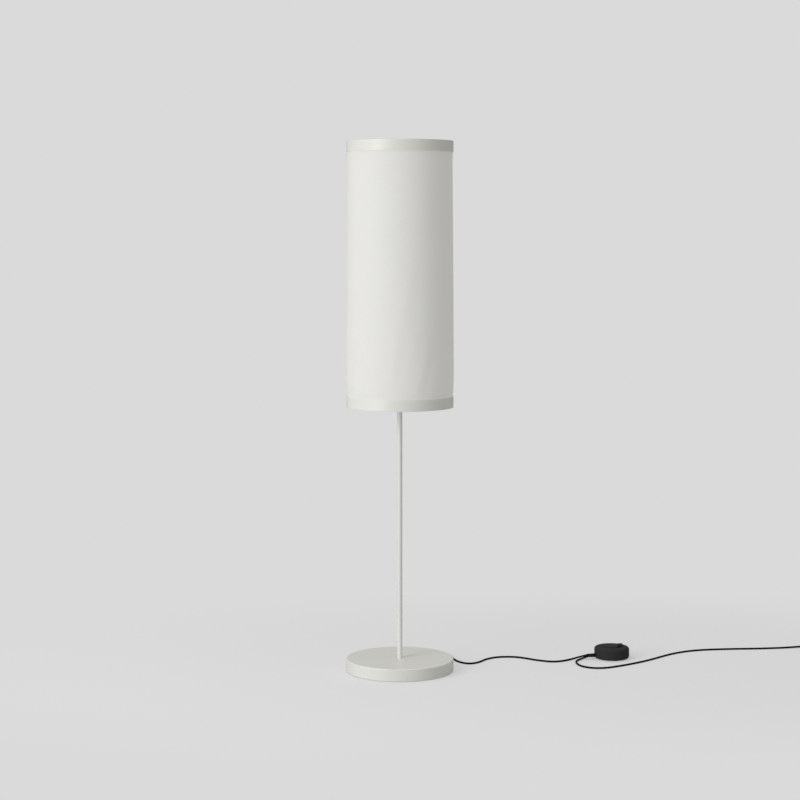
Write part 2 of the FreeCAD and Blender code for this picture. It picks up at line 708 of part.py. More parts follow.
def make_foot():
    """Cover, weight, plate, felt and the screws that join them."""
    hole_r = STUD_D / 2 + RUN_GAP
    cover = turned([(hole_r, FOOT_HEIGHT), (FOOT_R, FOOT_HEIGHT, COVER_EDGE_R),
                    (FOOT_R, SKIRT_LIFT, 0.7), (FOOT_R - COVER_WALL, SKIRT_LIFT, 0.7),
                    (FOOT_R - COVER_WALL, COVER_ROOF, 0.8), (hole_r, COVER_ROOF)])
    away = polar(1, CORD_EXIT_AZIMUTH)
    level = Vector(0, 0, CORD_EXIT_HEIGHT)
    neck_r = RELIEF_NECK_D / 2
    cord_hole = rod(neck_r + RUN_GAP, level + away * (FOOT_R - 2 * COVER_WALL), away, 3 * COVER_WALL)
    cover = cut(cover, [cord_hole])
    save("base_cover", cover)

    rim_inner = WEIGHT_R - WEIGHT_RIM
    weight = turned([(hole_r, COVER_ROOF), (WEIGHT_R, COVER_ROOF, 1.0), (WEIGHT_R, PLATE_TOP, 1.0),
                     (rim_inner, PLATE_TOP, 1.0), (rim_inner, DISC_UNDER, CASTING_R),
                     (NUT_WELL_D / 2, DISC_UNDER, 1.0), (NUT_WELL_D / 2, NUT_SEAT), (hole_r, NUT_SEAT)])
    overlap = 1.0
    boss_height = DISC_UNDER - PLATE_TOP + overlap
    bosses = [Part.makeCylinder(BOSS_D / 2, boss_height, polar(BOSS_REACH, azimuth, PLATE_TOP))
              for azimuth in boss_azimuths()]
    saddle_under = CORD_EXIT_HEIGHT + CORD_R
    saddle_span = CLAMP_SPAN + 2 * SADDLE_MARGIN
    saddle_height = DISC_UNDER - saddle_under + overlap
    saddle = block(CLAMP_WIDTH, saddle_span, saddle_height, CLAMP_REACH, 0, saddle_under)
    weight = fused([weight, *bosses, spun(saddle, CORD_EXIT_AZIMUTH)])
    pilot_r = PLATE_SCREW_D / 2 + RUN_GAP
    pilots = [Part.makeCylinder(pilot_r, PLATE_SCREW_LENGTH, polar(BOSS_REACH, azimuth, PLATE_TOP - 1))
              for azimuth in boss_azimuths()]
    pilots += [Part.makeCylinder(CLAMP_SCREW_D / 2 + RUN_GAP, CLAMP_SCREW_LENGTH, point)
               for point in clamp_screw_points(saddle_under - CLAMP_SCREW_LENGTH / 3)]
    slot_half = RELIEF_FLANGE_D / 2 + SEAT_GAP
    slot = block(2 * WEIGHT_RIM, 2 * slot_half, CORD_EXIT_HEIGHT + slot_half - PLATE_TOP + overlap,
                 rim_inner + WEIGHT_RIM / 2, 0, PLATE_TOP - overlap)
    weight = cut(weight, [*pilots, spun(slot, CORD_EXIT_AZIMUTH)])
    save("base_weight", weight)

    plate_r = WEIGHT_R - 1.0
    head_r = PLATE_SCREW_D
    holes = [Part.makeCone(head_r + RUN_GAP, pilot_r, PLATE_THICK, polar(BOSS_REACH, azimuth, PAD_THICK))
             for azimuth in boss_azimuths()]
    plate = turned([(0, PAD_THICK), (plate_r, PAD_THICK), (plate_r, PLATE_TOP), (0, PLATE_TOP)])
    save("base_plate", cut(plate, holes))
    pad_r = FOOT_R - PAD_INSET
    save("base_pad", turned([(0, 0), (pad_r, 0), (pad_r, PAD_THICK), (0, PAD_THICK)]))

    screws = []
    screw_tip = PAD_THICK + PLATE_SCREW_LENGTH
    for azimuth in boss_azimuths():
        screw = turned([(0, PAD_THICK), (head_r, PAD_THICK), (PLATE_SCREW_D / 2, PLATE_TOP),
                        (PLATE_SCREW_D / 2, screw_tip - PLATE_SCREW_POINT),
                        (PLATE_SCREW_D / 2 - PLATE_SCREW_POINT, screw_tip), (0, screw_tip)])
        screws.append(screw.translated(polar(BOSS_REACH, azimuth)))
    save("plate_screws", Part.Compound(screws))


def relief_inner_face():
    """Distance of the relief's inner end from the stem's axis: its flange lies in the curved wall."""
    wall = FOOT_R - COVER_WALL
    return math.sqrt(wall ** 2 - (RELIEF_FLANGE_D / 2) ** 2) - RELIEF_FLANGE


def make_foot_cord():
    """Tapered relief in the foot's back wall, and the clamp that holds the cord inside."""
    root_in = FOOT_R - relief_inner_face()
    neck_r = RELIEF_NECK_D / 2
    flange = turned([(0, 0), (RELIEF_FLANGE_D / 2, 0, 0.5), (RELIEF_FLANGE_D / 2, RELIEF_FLANGE, 0.5),
                     (neck_r, RELIEF_FLANGE), (neck_r, root_in), (0, root_in)])
    tail = ribbed_relief(RELIEF_ROOT_D, RELIEF_TIP_D, RELIEF_TAIL).translated(Vector(0, 0, root_in))
    relief = fused([flange, tail])
    relief.rotate(Vector(0, 0, 0), Vector(0, 1, 0), 90)
    relief.translate(Vector(FOOT_R - root_in, 0, CORD_EXIT_HEIGHT))
    save("base_cord_relief", spun(relief, CORD_EXIT_AZIMUTH))

    clamp_top = CORD_EXIT_HEIGHT - CORD_R
    bar = rounded_rectangle(CLAMP_REACH, 0, CLAMP_WIDTH, CLAMP_SPAN + 2 * SADDLE_MARGIN, 2)
    clamp = prism(bar, clamp_top - CLAMP_THICK, CLAMP_THICK)
    screw_r = CLAMP_SCREW_D / 2
    posts = [Part.makeCylinder(screw_r + 1.6, CORD_D, point) for point in clamp_screw_points(clamp_top)]
    bores = [Part.makeCylinder(screw_r + RUN_GAP, FOOT_HEIGHT, point) for point in clamp_screw_points(0)]
    save("base_cord_clamp", cut(fused([spun(clamp, CORD_EXIT_AZIMUTH), *posts]), bores))

    head = clamp_top - CLAMP_THICK - PLATE_TOP
    reach = CLAMP_THICK + CORD_D + CLAMP_SCREW_LENGTH / 2
    screw = turned([(0, -head), (CLAMP_SCREW_D, -head, 0.6), (CLAMP_SCREW_D, 0), (screw_r, 0),
                    (screw_r, reach), (0, reach)])
    save("base_clamp_screws", Part.Compound([screw.translated(point) for point
                                             in clamp_screw_points(clamp_top - CLAMP_THICK)]))


def make_stem():
    """Stem with its lead holes, the studs in both ends, washer, nut and finial."""
    bore_r = STEM_BORE / 2
    stem = turned([(bore_r, FOOT_HEIGHT), (STEM_R, FOOT_HEIGHT), (STEM_R, STEM_TOP), (bore_r, STEM_TOP)])
    lead_holes = []
    for height, side in ((LOW_ARM_HEIGHT, 1), (HIGH_ARM_HEIGHT, -1)):
        start = Vector(0, 0, height - HOLDER_LEAD_DROP)
        lead_holes.append(rod(HOLDER_LEAD_D / 2 + SEAT_GAP, start, Vector(side, 0, 0), STEM_D))
    save("stem_tube", cut(stem, lead_holes))

    bore = STUD_BORE / 2
    stud_top = FOOT_HEIGHT + STUD_THREAD_GRIP
    save("stem_stud", turned([(bore, STUD_BOTTOM), (STUD_D / 2, STUD_BOTTOM, 0.6),
                              (STUD_D / 2, stud_top, 0.6), (bore, stud_top)]))
    hole_r = STUD_D / 2 + RUN_GAP
    washer_under = NUT_SEAT - WASHER_THICK
    save("stem_washer", turned([(hole_r, washer_under), (WASHER_D / 2, washer_under, 0.4),
                                (WASHER_D / 2, NUT_SEAT, 0.4), (hole_r, NUT_SEAT)]))
    nut_under = washer_under - STEM_NUT_THICK
    thread = Part.makeCylinder(hole_r, 2 * STEM_NUT_THICK, Vector(0, 0, nut_under - STEM_NUT_THICK / 2))
    save("stem_nut", cut(hexagon(STEM_NUT_AF, nut_under, STEM_NUT_THICK), [thread]))

    hub_top = STEM_TOP + HUB_HEIGHT
    stud_end = hub_top + FINIAL_HEIGHT * 0.6
    plug_in = STEM_TOP - HUB_STUD_GRIP
    neck_r = HUB_STUD_D / 2
    save("stem_top_stud", turned([(0, plug_in), (STUD_D / 2, plug_in, 0.6), (STUD_D / 2, STEM_TOP),
                                  (neck_r, STEM_TOP), (neck_r, stud_end, 0.6), (0, stud_end)]))
    finial_r = FINIAL_D / 2
    finial_top = hub_top + FINIAL_HEIGHT
    finial = turned([(0, hub_top), (finial_r, hub_top, 0.8), (finial_r, hub_top + FINIAL_HEIGHT * 0.55, 2.0),
                     (finial_r * 0.6, finial_top, 2.0), (0, finial_top)])
    grip_r = 1.6
    grip_ring = finial_r + 0.7
    notches = [Part.makeCylinder(grip_r, 2 * FINIAL_HEIGHT,
                                 polar(grip_ring, 360 / FINIAL_GRIP_COUNT * k, hub_top - 1))
               for k in range(FINIAL_GRIP_COUNT)]
    bore = Part.makeCylinder(neck_r + RUN_GAP, stud_end - hub_top + 1, Vector(0, 0, hub_top - 1))
    save("finial_nut", cut(finial, [*notches, bore]))


def make_inner_lead():
    """The lead from the foot's relief, through the clamp, round a bend and up the stem."""
    away = polar(1, CORD_EXIT_AZIMUTH)
    level = Vector(0, 0, CORD_EXIT_HEIGHT)
    start = away * relief_inner_face() + level
    bend_in = away * LEAD_BEND_R + level
    corner = level
    bend_out = corner + Vector(0, 0, LEAD_BEND_R)
    middle_share = 1 - math.sqrt(0.5)
    middle = corner + (away + Vector(0, 0, 1)) * (LEAD_BEND_R * middle_share)
    top = Vector(0, 0, HIGH_ARM_HEIGHT - HOLDER_LEAD_DROP)
    wire = Part.Wire([Part.LineSegment(start, bend_in).toShape(),
                      Part.Arc(bend_in, middle, bend_out).toShape(),
                      Part.LineSegment(bend_out, top).toShape()])
    solid = tube(wire, CORD_D)
    report_cord("inner_lead", wire, solid, CORD_D, [LEAD_BEND_R])
    save("inner_lead", solid)


# ================================================================ shade
def arm_azimuths():
    """Directions of the arms of a shade frame."""
    return [ARM_FIRST_AZIMUTH + 360 / ARM_COUNT * k for k in range(ARM_COUNT)]


def screw_azimuths():
    """The band's screws are midway between the arms."""
    return [azimuth + 180 / ARM_COUNT for azimuth in arm_azimuths()]


def make_shade_frame(node, hoop_bottom, hub_bottom, bore_r):
    """Hoop, arms and hub as one welded frame."""
    inner = HOOP_R - HOOP_THICK
    hoop_top = hoop_bottom + HOOP_HEIGHT
    hoop = turned([(inner, hoop_bottom), (HOOP_R, hoop_bottom, 0.5), (HOOP_R, hoop_top, 0.5),
                   (inner, hoop_top)])
    hub = turned([(bore_r, hub_bottom), (HUB_D / 2, hub_bottom, 1.0),
                  (HUB_D / 2, hub_bottom + HUB_HEIGHT, 1.0), (bore_r, hub_bottom + HUB_HEIGHT)])
    arm_start = HUB_D / 2 - 2
    arms = [rod(ARM_D / 2, polar(arm_start, azimuth, hub_bottom + HUB_HEIGHT / 2), polar(1, azimuth),
                inner + HOOP_THICK / 2 - arm_start) for azimuth in arm_azimuths()]
    holes = [rod(BAND_SCREW_D / 2 + RUN_GAP, polar(inner - HOOP_THICK, azimuth, (hoop_bottom + hoop_top) / 2),
                 polar(1, azimuth), 3 * HOOP_THICK) for azimuth in screw_azimuths()]
    save(node, cut(fused([hoop, hub, *arms]), holes))


def make_band(node, open_end, closed_end, hoop_middle):
    """Steel band whose closed end turns in over the hem, pierced from inside for its screws."""
    inner = SHADE_R - BAND_THICK
    toward = 1 if open_end > closed_end else -1
    shelf = closed_end + toward * BAND_THICK
    lip_r = SHADE_R - BAND_LIP
    band = turned([(SHADE_R, open_end, 0.5), (SHADE_R, closed_end, 0.9), (lip_r, closed_end, 0.5),
                   (lip_r, shelf, 0.5), (inner, shelf), (inner, open_end, 0.5)])
    blind = BAND_THICK * 0.6
    holes = [rod(BAND_SCREW_D / 2 + RUN_GAP, polar(inner - BAND_THICK, azimuth, hoop_middle),
                 polar(1, azimuth), BAND_THICK + blind) for azimuth in screw_azimuths()]
    save(node, cut(band, holes))


def make_cloth(hoop_middles):
    """Cloth sleeve: its hems lie in the bands, and its slack stands out most low on the shade."""
    low = SHADE_BOTTOM + BAND_THICK + SEAT_GAP
    high = LAMP_HEIGHT - BAND_THICK - SEAT_GAP
    low_free = SHADE_BOTTOM + BAND_HEIGHT
    high_free = LAMP_HEIGHT - BAND_HEIGHT
    widest = SHADE_BOTTOM + SHADE_LENGTH * CLOTH_FALL_AT
    hem = CLOTH_HEM_R
    slack = hem + CLOTH_FALL

    # Straight in each hem; between them two arcs that share an upright tangent at the widest height.
    def halfway(radius, end):
        reach = abs(end - widest)
        bow = (reach ** 2 + CLOTH_FALL ** 2) / (2 * CLOTH_FALL)
        return upright(radius - bow + math.sqrt(bow ** 2 - (reach / 2) ** 2), (end + widest) / 2)

    edges = []
    for hem_r, wide_r in ((hem, slack), (hem - CLOTH_THICK, slack - CLOTH_THICK)):
        wide = upright(wide_r, widest)
        edges += [Part.LineSegment(upright(hem_r, low), upright(hem_r, low_free)),
                  Part.Arc(upright(hem_r, low_free), halfway(wide_r, low_free), wide),
                  Part.Arc(wide, halfway(wide_r, high_free), upright(hem_r, high_free)),
                  Part.LineSegment(upright(hem_r, high_free), upright(hem_r, high))]
    edges += [Part.LineSegment(upright(hem, end), upright(hem - CLOTH_THICK, end)) for end in (low, high)]
    outline = Part.Wire(Part.__sortEdges__([edge.toShape() for edge in edges]))
    sleeve = positive(Part.Face(outline).revolve(Vector(0, 0, 0), Vector(0, 0, 1), 360))
    holes = [rod(BAND_SCREW_D / 2 + RUN_GAP, polar(hem - 2 * CLOTH_THICK, azimuth, height),
                 polar(1, azimuth), 3 * CLOTH_THICK)
             for azimuth in screw_azimuths() for height in hoop_middles]
    save("shade_fabric", cut(sleeve, holes))


def make_shade():
    """Frames, bands, cloth, their screws, and the collar that carries the lower hub."""
    make_shade_frame("shade_frame_top", HIGH_HOOP_BOTTOM, STEM_TOP, HUB_STUD_D / 2 + RUN_GAP)
    make_shade_frame("shade_frame_bottom", LOW_HOOP_BOTTOM, LOW_HUB_BOTTOM, STEM_R + RUN_GAP)
    middles = [HIGH_HOOP_BOTTOM + HOOP_HEIGHT / 2, LOW_HOOP_BOTTOM + HOOP_HEIGHT / 2]
    make_band("shade_band_top", LAMP_HEIGHT - BAND_HEIGHT, LAMP_HEIGHT, middles[0])
    make_band("shade_band_bottom", SHADE_BOTTOM + BAND_HEIGHT, SHADE_BOTTOM, middles[1])
    make_cloth(middles)

    inner = HOOP_R - HOOP_THICK
    head_r = BAND_SCREW_HEAD_D / 2
    sagitta = inner - math.sqrt(inner ** 2 - head_r ** 2)
    reach = SHADE_R - BAND_THICK / 2 - inner + sagitta
    screws = []
    for height in middles:
        for azimuth in screw_azimuths():
            screw = turned([(0, -BAND_SCREW_HEAD), (head_r, -BAND_SCREW_HEAD, 0.8), (head_r, 0),
                            (BAND_SCREW_D / 2, 0), (BAND_SCREW_D / 2, reach), (0, reach)])
            screw.rotate(Vector(0, 0, 0), Vector(0, 1, 0), 90)
            screw.translate(Vector(inner - sagitta, 0, height))
            screws.append(spun(screw, azimuth))
    save("band_screws", Part.Compound(screws))

    collar_bottom = LOW_HUB_BOTTOM - COLLAR_HEIGHT
    collar = turned([(STEM_R + RUN_GAP, collar_bottom), (COLLAR_D / 2, collar_bottom, 0.8),
                     (COLLAR_D / 2, LOW_HUB_BOTTOM, 0.8), (STEM_R + RUN_GAP, LOW_HUB_BOTTOM)])
    hole = rod(SET_SCREW_D / 2 + RUN_GAP, Vector(0, STEM_R - 1, collar_bottom + COLLAR_HEIGHT / 2),
               Vector(0, 1, 0), COLLAR_D)
    save("shade_collar", cut(collar, [hole]))


def set_screw(height, outside_r):
    """Grub screw that bears on the stem from +Y, with a hexagonal socket."""
    length = outside_r + SET_SCREW_STANDS - STEM_R
    screw_r = SET_SCREW_D / 2
    cone = 0.8
    key_af = 2.0
    key_depth = 1.6
    screw = turned([(0, 0), (screw_r - cone, 0), (screw_r, cone), (screw_r, length, 0.3), (0, length)])
    screw = cut(screw, [hexagon(key_af, length - key_depth, 2 * key_depth)])
    screw.rotate(Vector(0, 0, 0), Vector(1, 0, 0), -90)
    return screw.translated(Vector(0, STEM_R, height))


# ================================================================ lamp arms, holders and bulbs
def make_lamp(name, height, side):
    """One arm with its nipple, nut, holder, contacts, lead and bulb; side +1 or -1 along X."""
    def place(shape):
        return spun(shape, 0 if side > 0 else 180).translated(Vector(0, 0, height))

    collar_r = ARM_COLLAR_D / 2
    pad_r = ARM_PAD_D / 2
    bottom = -ARM_PLATE
    collar = Part.makeCylinder(collar_r, ARM_COLLAR_HEIGHT, Vector(0, 0, -ARM_COLLAR_HEIGHT))
    pad = Part.makeCylinder(pad_r, ARM_PLATE, Vector(BULB_OFFSET, 0, bottom))
    collar_side = collar_r - 1
    pad_side = pad_r - 1
    bridge = prism([(0, -collar_side), (BULB_OFFSET, -pad_side), (BULB_OFFSET, pad_side), (0, collar_side)],
                   bottom, ARM_PLATE)
    rib_start = collar_r - 2
    rib_end = BULB_OFFSET - HOLDER_NUT_AF * 0.6 - 2
    rib_corners = [(rib_start, bottom + 1), (rib_start, -ARM_COLLAR_HEIGHT), (collar_r, -ARM_COLLAR_HEIGHT),
                   (rib_end, bottom), (rib_end, bottom + 1)]
    rib_face = Part.Face(rounded_wire(rib_corners, upright))
    rib = positive(rib_face.extrude(Vector(0, ARM_RIB, 0))).translated(Vector(0, -ARM_RIB / 2, 0))
    arm = fused([collar, pad, bridge, rib])
    nipple_r = NIPPLE_D / 2
    bore_start = Vector(0, 0, -1.5 * ARM_COLLAR_HEIGHT)
    stem_bore = Part.makeCylinder(STEM_R + RUN_GAP, 2 * ARM_COLLAR_HEIGHT, bore_start)
    nipple_hole = Part.makeCylinder(nipple_r + RUN_GAP, 3 * ARM_PLATE, Vector(BULB_OFFSET, 0, 2 * bottom))
    screw_level = Vector(0, 0, -ARM_COLLAR_HEIGHT / 2)
    screw_hole = rod(SET_SCREW_D / 2 + RUN_GAP, screw_level, Vector(0, side, 0), ARM_COLLAR_D)
    arm = cut(arm, [stem_bore, nipple_hole, screw_hole])
    save("lamp_arm_" + name, place(arm))

    holder_axis = Vector(BULB_OFFSET, 0, 0)
    foot_r = HOLDER_FOOT_D / 2
    outside = HOLDER_D / 2
    ring_r = outside + HOLDER_RING
    ring_low = HOLDER_RING_AT - HOLDER_RING_WIDTH / 2
    ring_high = HOLDER_RING_AT + HOLDER_RING_WIDTH / 2
    bevel = 0.8
    seat_r = nipple_r + RUN_GAP
    seat_top = NIPPLE_ABOVE + SEAT_GAP
    holder = turned([(seat_r, 0), (foot_r, 0, 1.5), (foot_r + 1.5, HOLDER_TAPER_LOW, 2),
                     (outside, HOLDER_TAPER_HIGH, 4), (outside, ring_low), (ring_r, ring_low + bevel),
                     (ring_r, ring_high - bevel), (outside, ring_high), (outside, HOLDER_HEIGHT, 1.2),
                     (HOLDER_BORE_R, HOLDER_HEIGHT, 0.8), (HOLDER_BORE_R, HOLDER_FLOOR), (0, HOLDER_FLOOR),
                     (0, seat_top), (seat_r, seat_top)])
    save("lampholder_" + name, place(holder.translated(holder_axis)))

    sleeve_in = SLEEVE_R - SLEEVE_WALL
    sleeve_foot = HOLDER_BORE_R - SEAT_GAP
    sleeve_top = HOLDER_FLOOR + SLEEVE_HEIGHT
    foot_top = HOLDER_FLOOR + 1
    sleeve = turned([(sleeve_in, HOLDER_FLOOR), (sleeve_foot, HOLDER_FLOOR), (sleeve_foot, foot_top),
                     (SLEEVE_R, foot_top, 0.8), (SLEEVE_R, sleeve_top, 0.25), (sleeve_in, sleeve_top, 0.25)])
    contact = Part.makeCylinder(CONTACT_D / 2, CAP_TIP, Vector(0, 0, HOLDER_FLOOR))
    contacts = [place(shape.translated(holder_axis)) for shape in (sleeve, contact)]

    cap_bottom = HOLDER_FLOOR + CAP_TIP
    bulb = bulb_parts(cap_bottom)
    for part in ("cap", "neck", "globe"):
        save("bulb_" + part + "_" + name, place(bulb[part].translated(holder_axis)))

    lead_height = -HOLDER_LEAD_DROP
    nipple_end = -ARM_PLATE - NIPPLE_BELOW
    corner = Vector(BULB_OFFSET, 0, lead_height)
    turn_start = corner - Vector(HOLDER_LEAD_BEND_R, 0, 0)
    turn_end = corner + Vector(0, 0, HOLDER_LEAD_BEND_R)
    middle = corner + Vector(-1, 0, 1) * (HOLDER_LEAD_BEND_R * (1 - math.sqrt(0.5)))
    wire = Part.Wire([Part.LineSegment(Vector(CORD_R + SEAT_GAP, 0, lead_height), turn_start).toShape(),
                      Part.Arc(turn_start, middle, turn_end).toShape(),
                      Part.LineSegment(turn_end, Vector(BULB_OFFSET, 0, nipple_end + 2)).toShape()])
    lead = place(tube(wire, HOLDER_LEAD_D))

    bore_r = NIPPLE_BORE / 2
    nipple = turned([(bore_r, nipple_end), (nipple_r, nipple_end, 0.5), (nipple_r, NIPPLE_ABOVE, 0.5),
                     (bore_r, NIPPLE_ABOVE)]).translated(holder_axis)
    nut_under = bottom - HOLDER_NUT_THICK
    thread = Part.makeCylinder(seat_r, 2 * HOLDER_NUT_THICK, Vector(0, 0, nut_under - HOLDER_NUT_THICK / 2))
    nut = cut(hexagon(HOLDER_NUT_AF, nut_under, HOLDER_NUT_THICK), [thread])
    nut.translate(holder_axis)
    return {"holder_nipples": [place(nipple)], "holder_nuts": [place(nut)], "holder_leads": [lead],
            "socket_contacts": contacts}


def bulb_parts(bottom):
    """Screw cap, plastic neck and round globe of a bulb that stands on its tip at bottom."""
    cap_r = CAP_D / 2
    cap_top = bottom + CAP_LENGTH
    root_r = cap_r - 1.2
    shell_low = bottom + 4.6
    corners = [(0, bottom), (3.2, bottom, 0.6), (4.5, bottom + 1.5), (9.5, bottom + 4.0),
               (cap_r - 1.6, shell_low)]
    first = shell_low + 1.0
    for index in range(CAP_RING_COUNT):
        low = first + index * CAP_RING_PITCH
        corners += [(root_r, low, 0.6), (cap_r, low + CAP_RING_PITCH / 2, 0.9)]
    corners += [(root_r, first + CAP_RING_COUNT * CAP_RING_PITCH, 0.6), (cap_r, cap_top - 2.5, 0.6),
                (cap_r, cap_top), (0, cap_top)]
    cap = turned(corners)

    globe_r = BULB_D / 2
    neck_r = BULB_NECK_D / 2
    centre = bottom + BULB_LENGTH - globe_r
    neck_top = centre - math.sqrt(globe_r ** 2 - neck_r ** 2)
    neck_rise = neck_top - cap_top
    rim_low = neck_top - 3.0
    rim_r = neck_r + 0.2
    neck = turned([(0, cap_top), (cap_r + 0.8, cap_top, 0.6), (cap_r + 1.4, cap_top + neck_rise * 0.3, 8),
                   (rim_r, rim_low, 3), (rim_r, neck_top), (neck_r - BULB_WALL, neck_top),
                   (neck_r - 2 * BULB_WALL, rim_low), (0, rim_low)])

    # The globe is a shell: the part of a ball above the neck's rim.
    def meridian(radius, angle):
        return upright(radius * math.cos(angle), centre + radius * math.sin(angle))

    inner_r = globe_r - BULB_WALL
    top = math.pi / 2
    rim = -math.acos(neck_r / globe_r)
    inner_rim = -math.asin((centre - neck_top) / inner_r)
    wire = Part.Wire([
        Part.Arc(meridian(globe_r, rim), meridian(globe_r, (rim + top) / 2),
                 meridian(globe_r, top)).toShape(),
        Part.LineSegment(meridian(globe_r, top), meridian(inner_r, top)).toShape(),
        Part.Arc(meridian(inner_r, top), meridian(inner_r, (inner_rim + top) / 2),
                 meridian(inner_r, inner_rim)).toShape(),
        Part.LineSegment(meridian(inner_r, inner_rim), meridian(globe_r, rim)).toShape()])
    globe = positive(Part.Face(wire).revolve(Vector(0, 0, 0), Vector(0, 0, 1), 360))
    return {"cap": cap, "neck": neck, "globe": globe}


def make_lamps():
    """Both lamps, and the nodes whose identical fasteners they share."""
    shared = {}
    for name, height, side in (("low", LOW_ARM_HEIGHT, 1), ("high", HIGH_ARM_HEIGHT, -1)):
        for node, solids in make_lamp(name, height, side).items():
            shared.setdefault(node, []).extend(solids)
    for node, solids in shared.items():
        save(node, Part.Compound(solids))
    collar_middle = LOW_HUB_BOTTOM - COLLAR_HEIGHT / 2
    screws = [set_screw(collar_middle, COLLAR_D / 2)]
    screws += [set_screw(height - ARM_COLLAR_HEIGHT / 2, ARM_COLLAR_D / 2)
               for height in (LOW_ARM_HEIGHT, HIGH_ARM_HEIGHT)]
    save("set_screws", Part.Compound(screws))


# ================================================================ dimmer
def dimmer_place():
    """Where the dimmer lies on the floor."""
    return FreeCAD.Placement(Vector(DIMMER_X, DIMMER_Y, 0), FreeCAD.Rotation(Vector(0, 0, 1), DIMMER_YAW))


def save_on_dimmer(node, shape):
    """Write a node that was drawn about the dimmer's own axis."""
    shape = shape.copy()
    shape.Placement = dimmer_place().multiply(shape.Placement)
    save(node, shape)


def clamp_posts():
    """The two posts the dimmer's clamp bar lies on, one outside each cord."""
    return [Vector(-DIMMER_CLAMP_AT, side * DIMMER_CLAMP_SPAN / 2, 0) for side in (-1, 1)]


def arc_slot(radius, half_width, start_deg, end_deg, bottom, height):
    """Curved slot about Z with round ends, as a solid to cut with."""
    def arc(reach, first, last):
        middle = (first + last) / 2
        return Part.Arc(polar(reach, first), polar(reach, middle), polar(reach, last)).toShape()

    def cap(at, outward):
        centre = polar(radius, at)
        tip = centre + polar(half_width, at + outward * 90)
        return Part.Arc(polar(radius + outward * half_width, at), tip,
                        polar(radius - outward * half_width, at)).toShape()

    edges = [arc(radius + half_width, start_deg, end_deg), cap(end_deg, 1),
             arc(radius - half_width, end_deg, start_deg), cap(start_deg, -1)]
    face = Part.Face(Part.Wire(Part.__sortEdges__(edges)))
    return positive(face.extrude(Vector(0, 0, height))).translated(Vector(0, 0, bottom))


def pillar_azimuths():
    """Screw pillars of the dimmer's case; the cords enter between two of them."""
    return [45 + 360 / PILLAR_COUNT * k for k in range(PILLAR_COUNT)]


def foot_azimuths():
    """The dimmer's feet are midway between its screws."""
    return [azimuth + 180 / PILLAR_COUNT for azimuth in pillar_azimuths()]


def flange_face():
    """How far from the dimmer's axis the reliefs' flanges meet its inner wall."""
    inner_r = DIMMER_R - DIMMER_WALL
    return math.sqrt(inner_r ** 2 - (DIMMER_CORD_GAP / 2 + DIMMER_FLANGE_R) ** 2) - RUN_GAP


def dimmer_reliefs():
    """The two tapered reliefs, drawn from a flange inside the wall to a tip on the cord."""
    inner_face = flange_face() - DIMMER_FLANGE
    root = DIMMER_R - inner_face
    flange = Part.makeCylinder(DIMMER_FLANGE_R, DIMMER_FLANGE)
    neck = Part.makeCylinder(DIMMER_RELIEF_D / 2 - RELIEF_STEP, root)
    tail = ribbed_relief(DIMMER_RELIEF_D, CORD_D + 1.2, DIMMER_RELIEF_TAIL).translated(Vector(0, 0, root))
    relief = fused([flange, neck, tail])
    relief.rotate(Vector(0, 0, 0), Vector(0, 1, 0), -90)
    return [relief.translated(Vector(-inner_face, side * DIMMER_CORD_GAP / 2, DIMMER_CORD_HEIGHT))
            for side in (-1, 1)]


def cord_notches():
    """What both halves of the case leave free for the necks of the reliefs."""
    neck_r = DIMMER_RELIEF_D / 2 - RELIEF_STEP + RUN_GAP
    depth = 12.0
    notches = []
    for side in (-1, 1):
        start = Vector(-DIMMER_R - 1, side * DIMMER_CORD_GAP / 2, DIMMER_CORD_HEIGHT)
        notches.append(rod(neck_r, start, Vector(1, 0, 0), depth))
        notches.append(Part.makeBox(depth, 2 * neck_r, DIMMER_SPLIT - DIMMER_CORD_HEIGHT,
                                    start + Vector(0, -neck_r, 0)))
    return notches


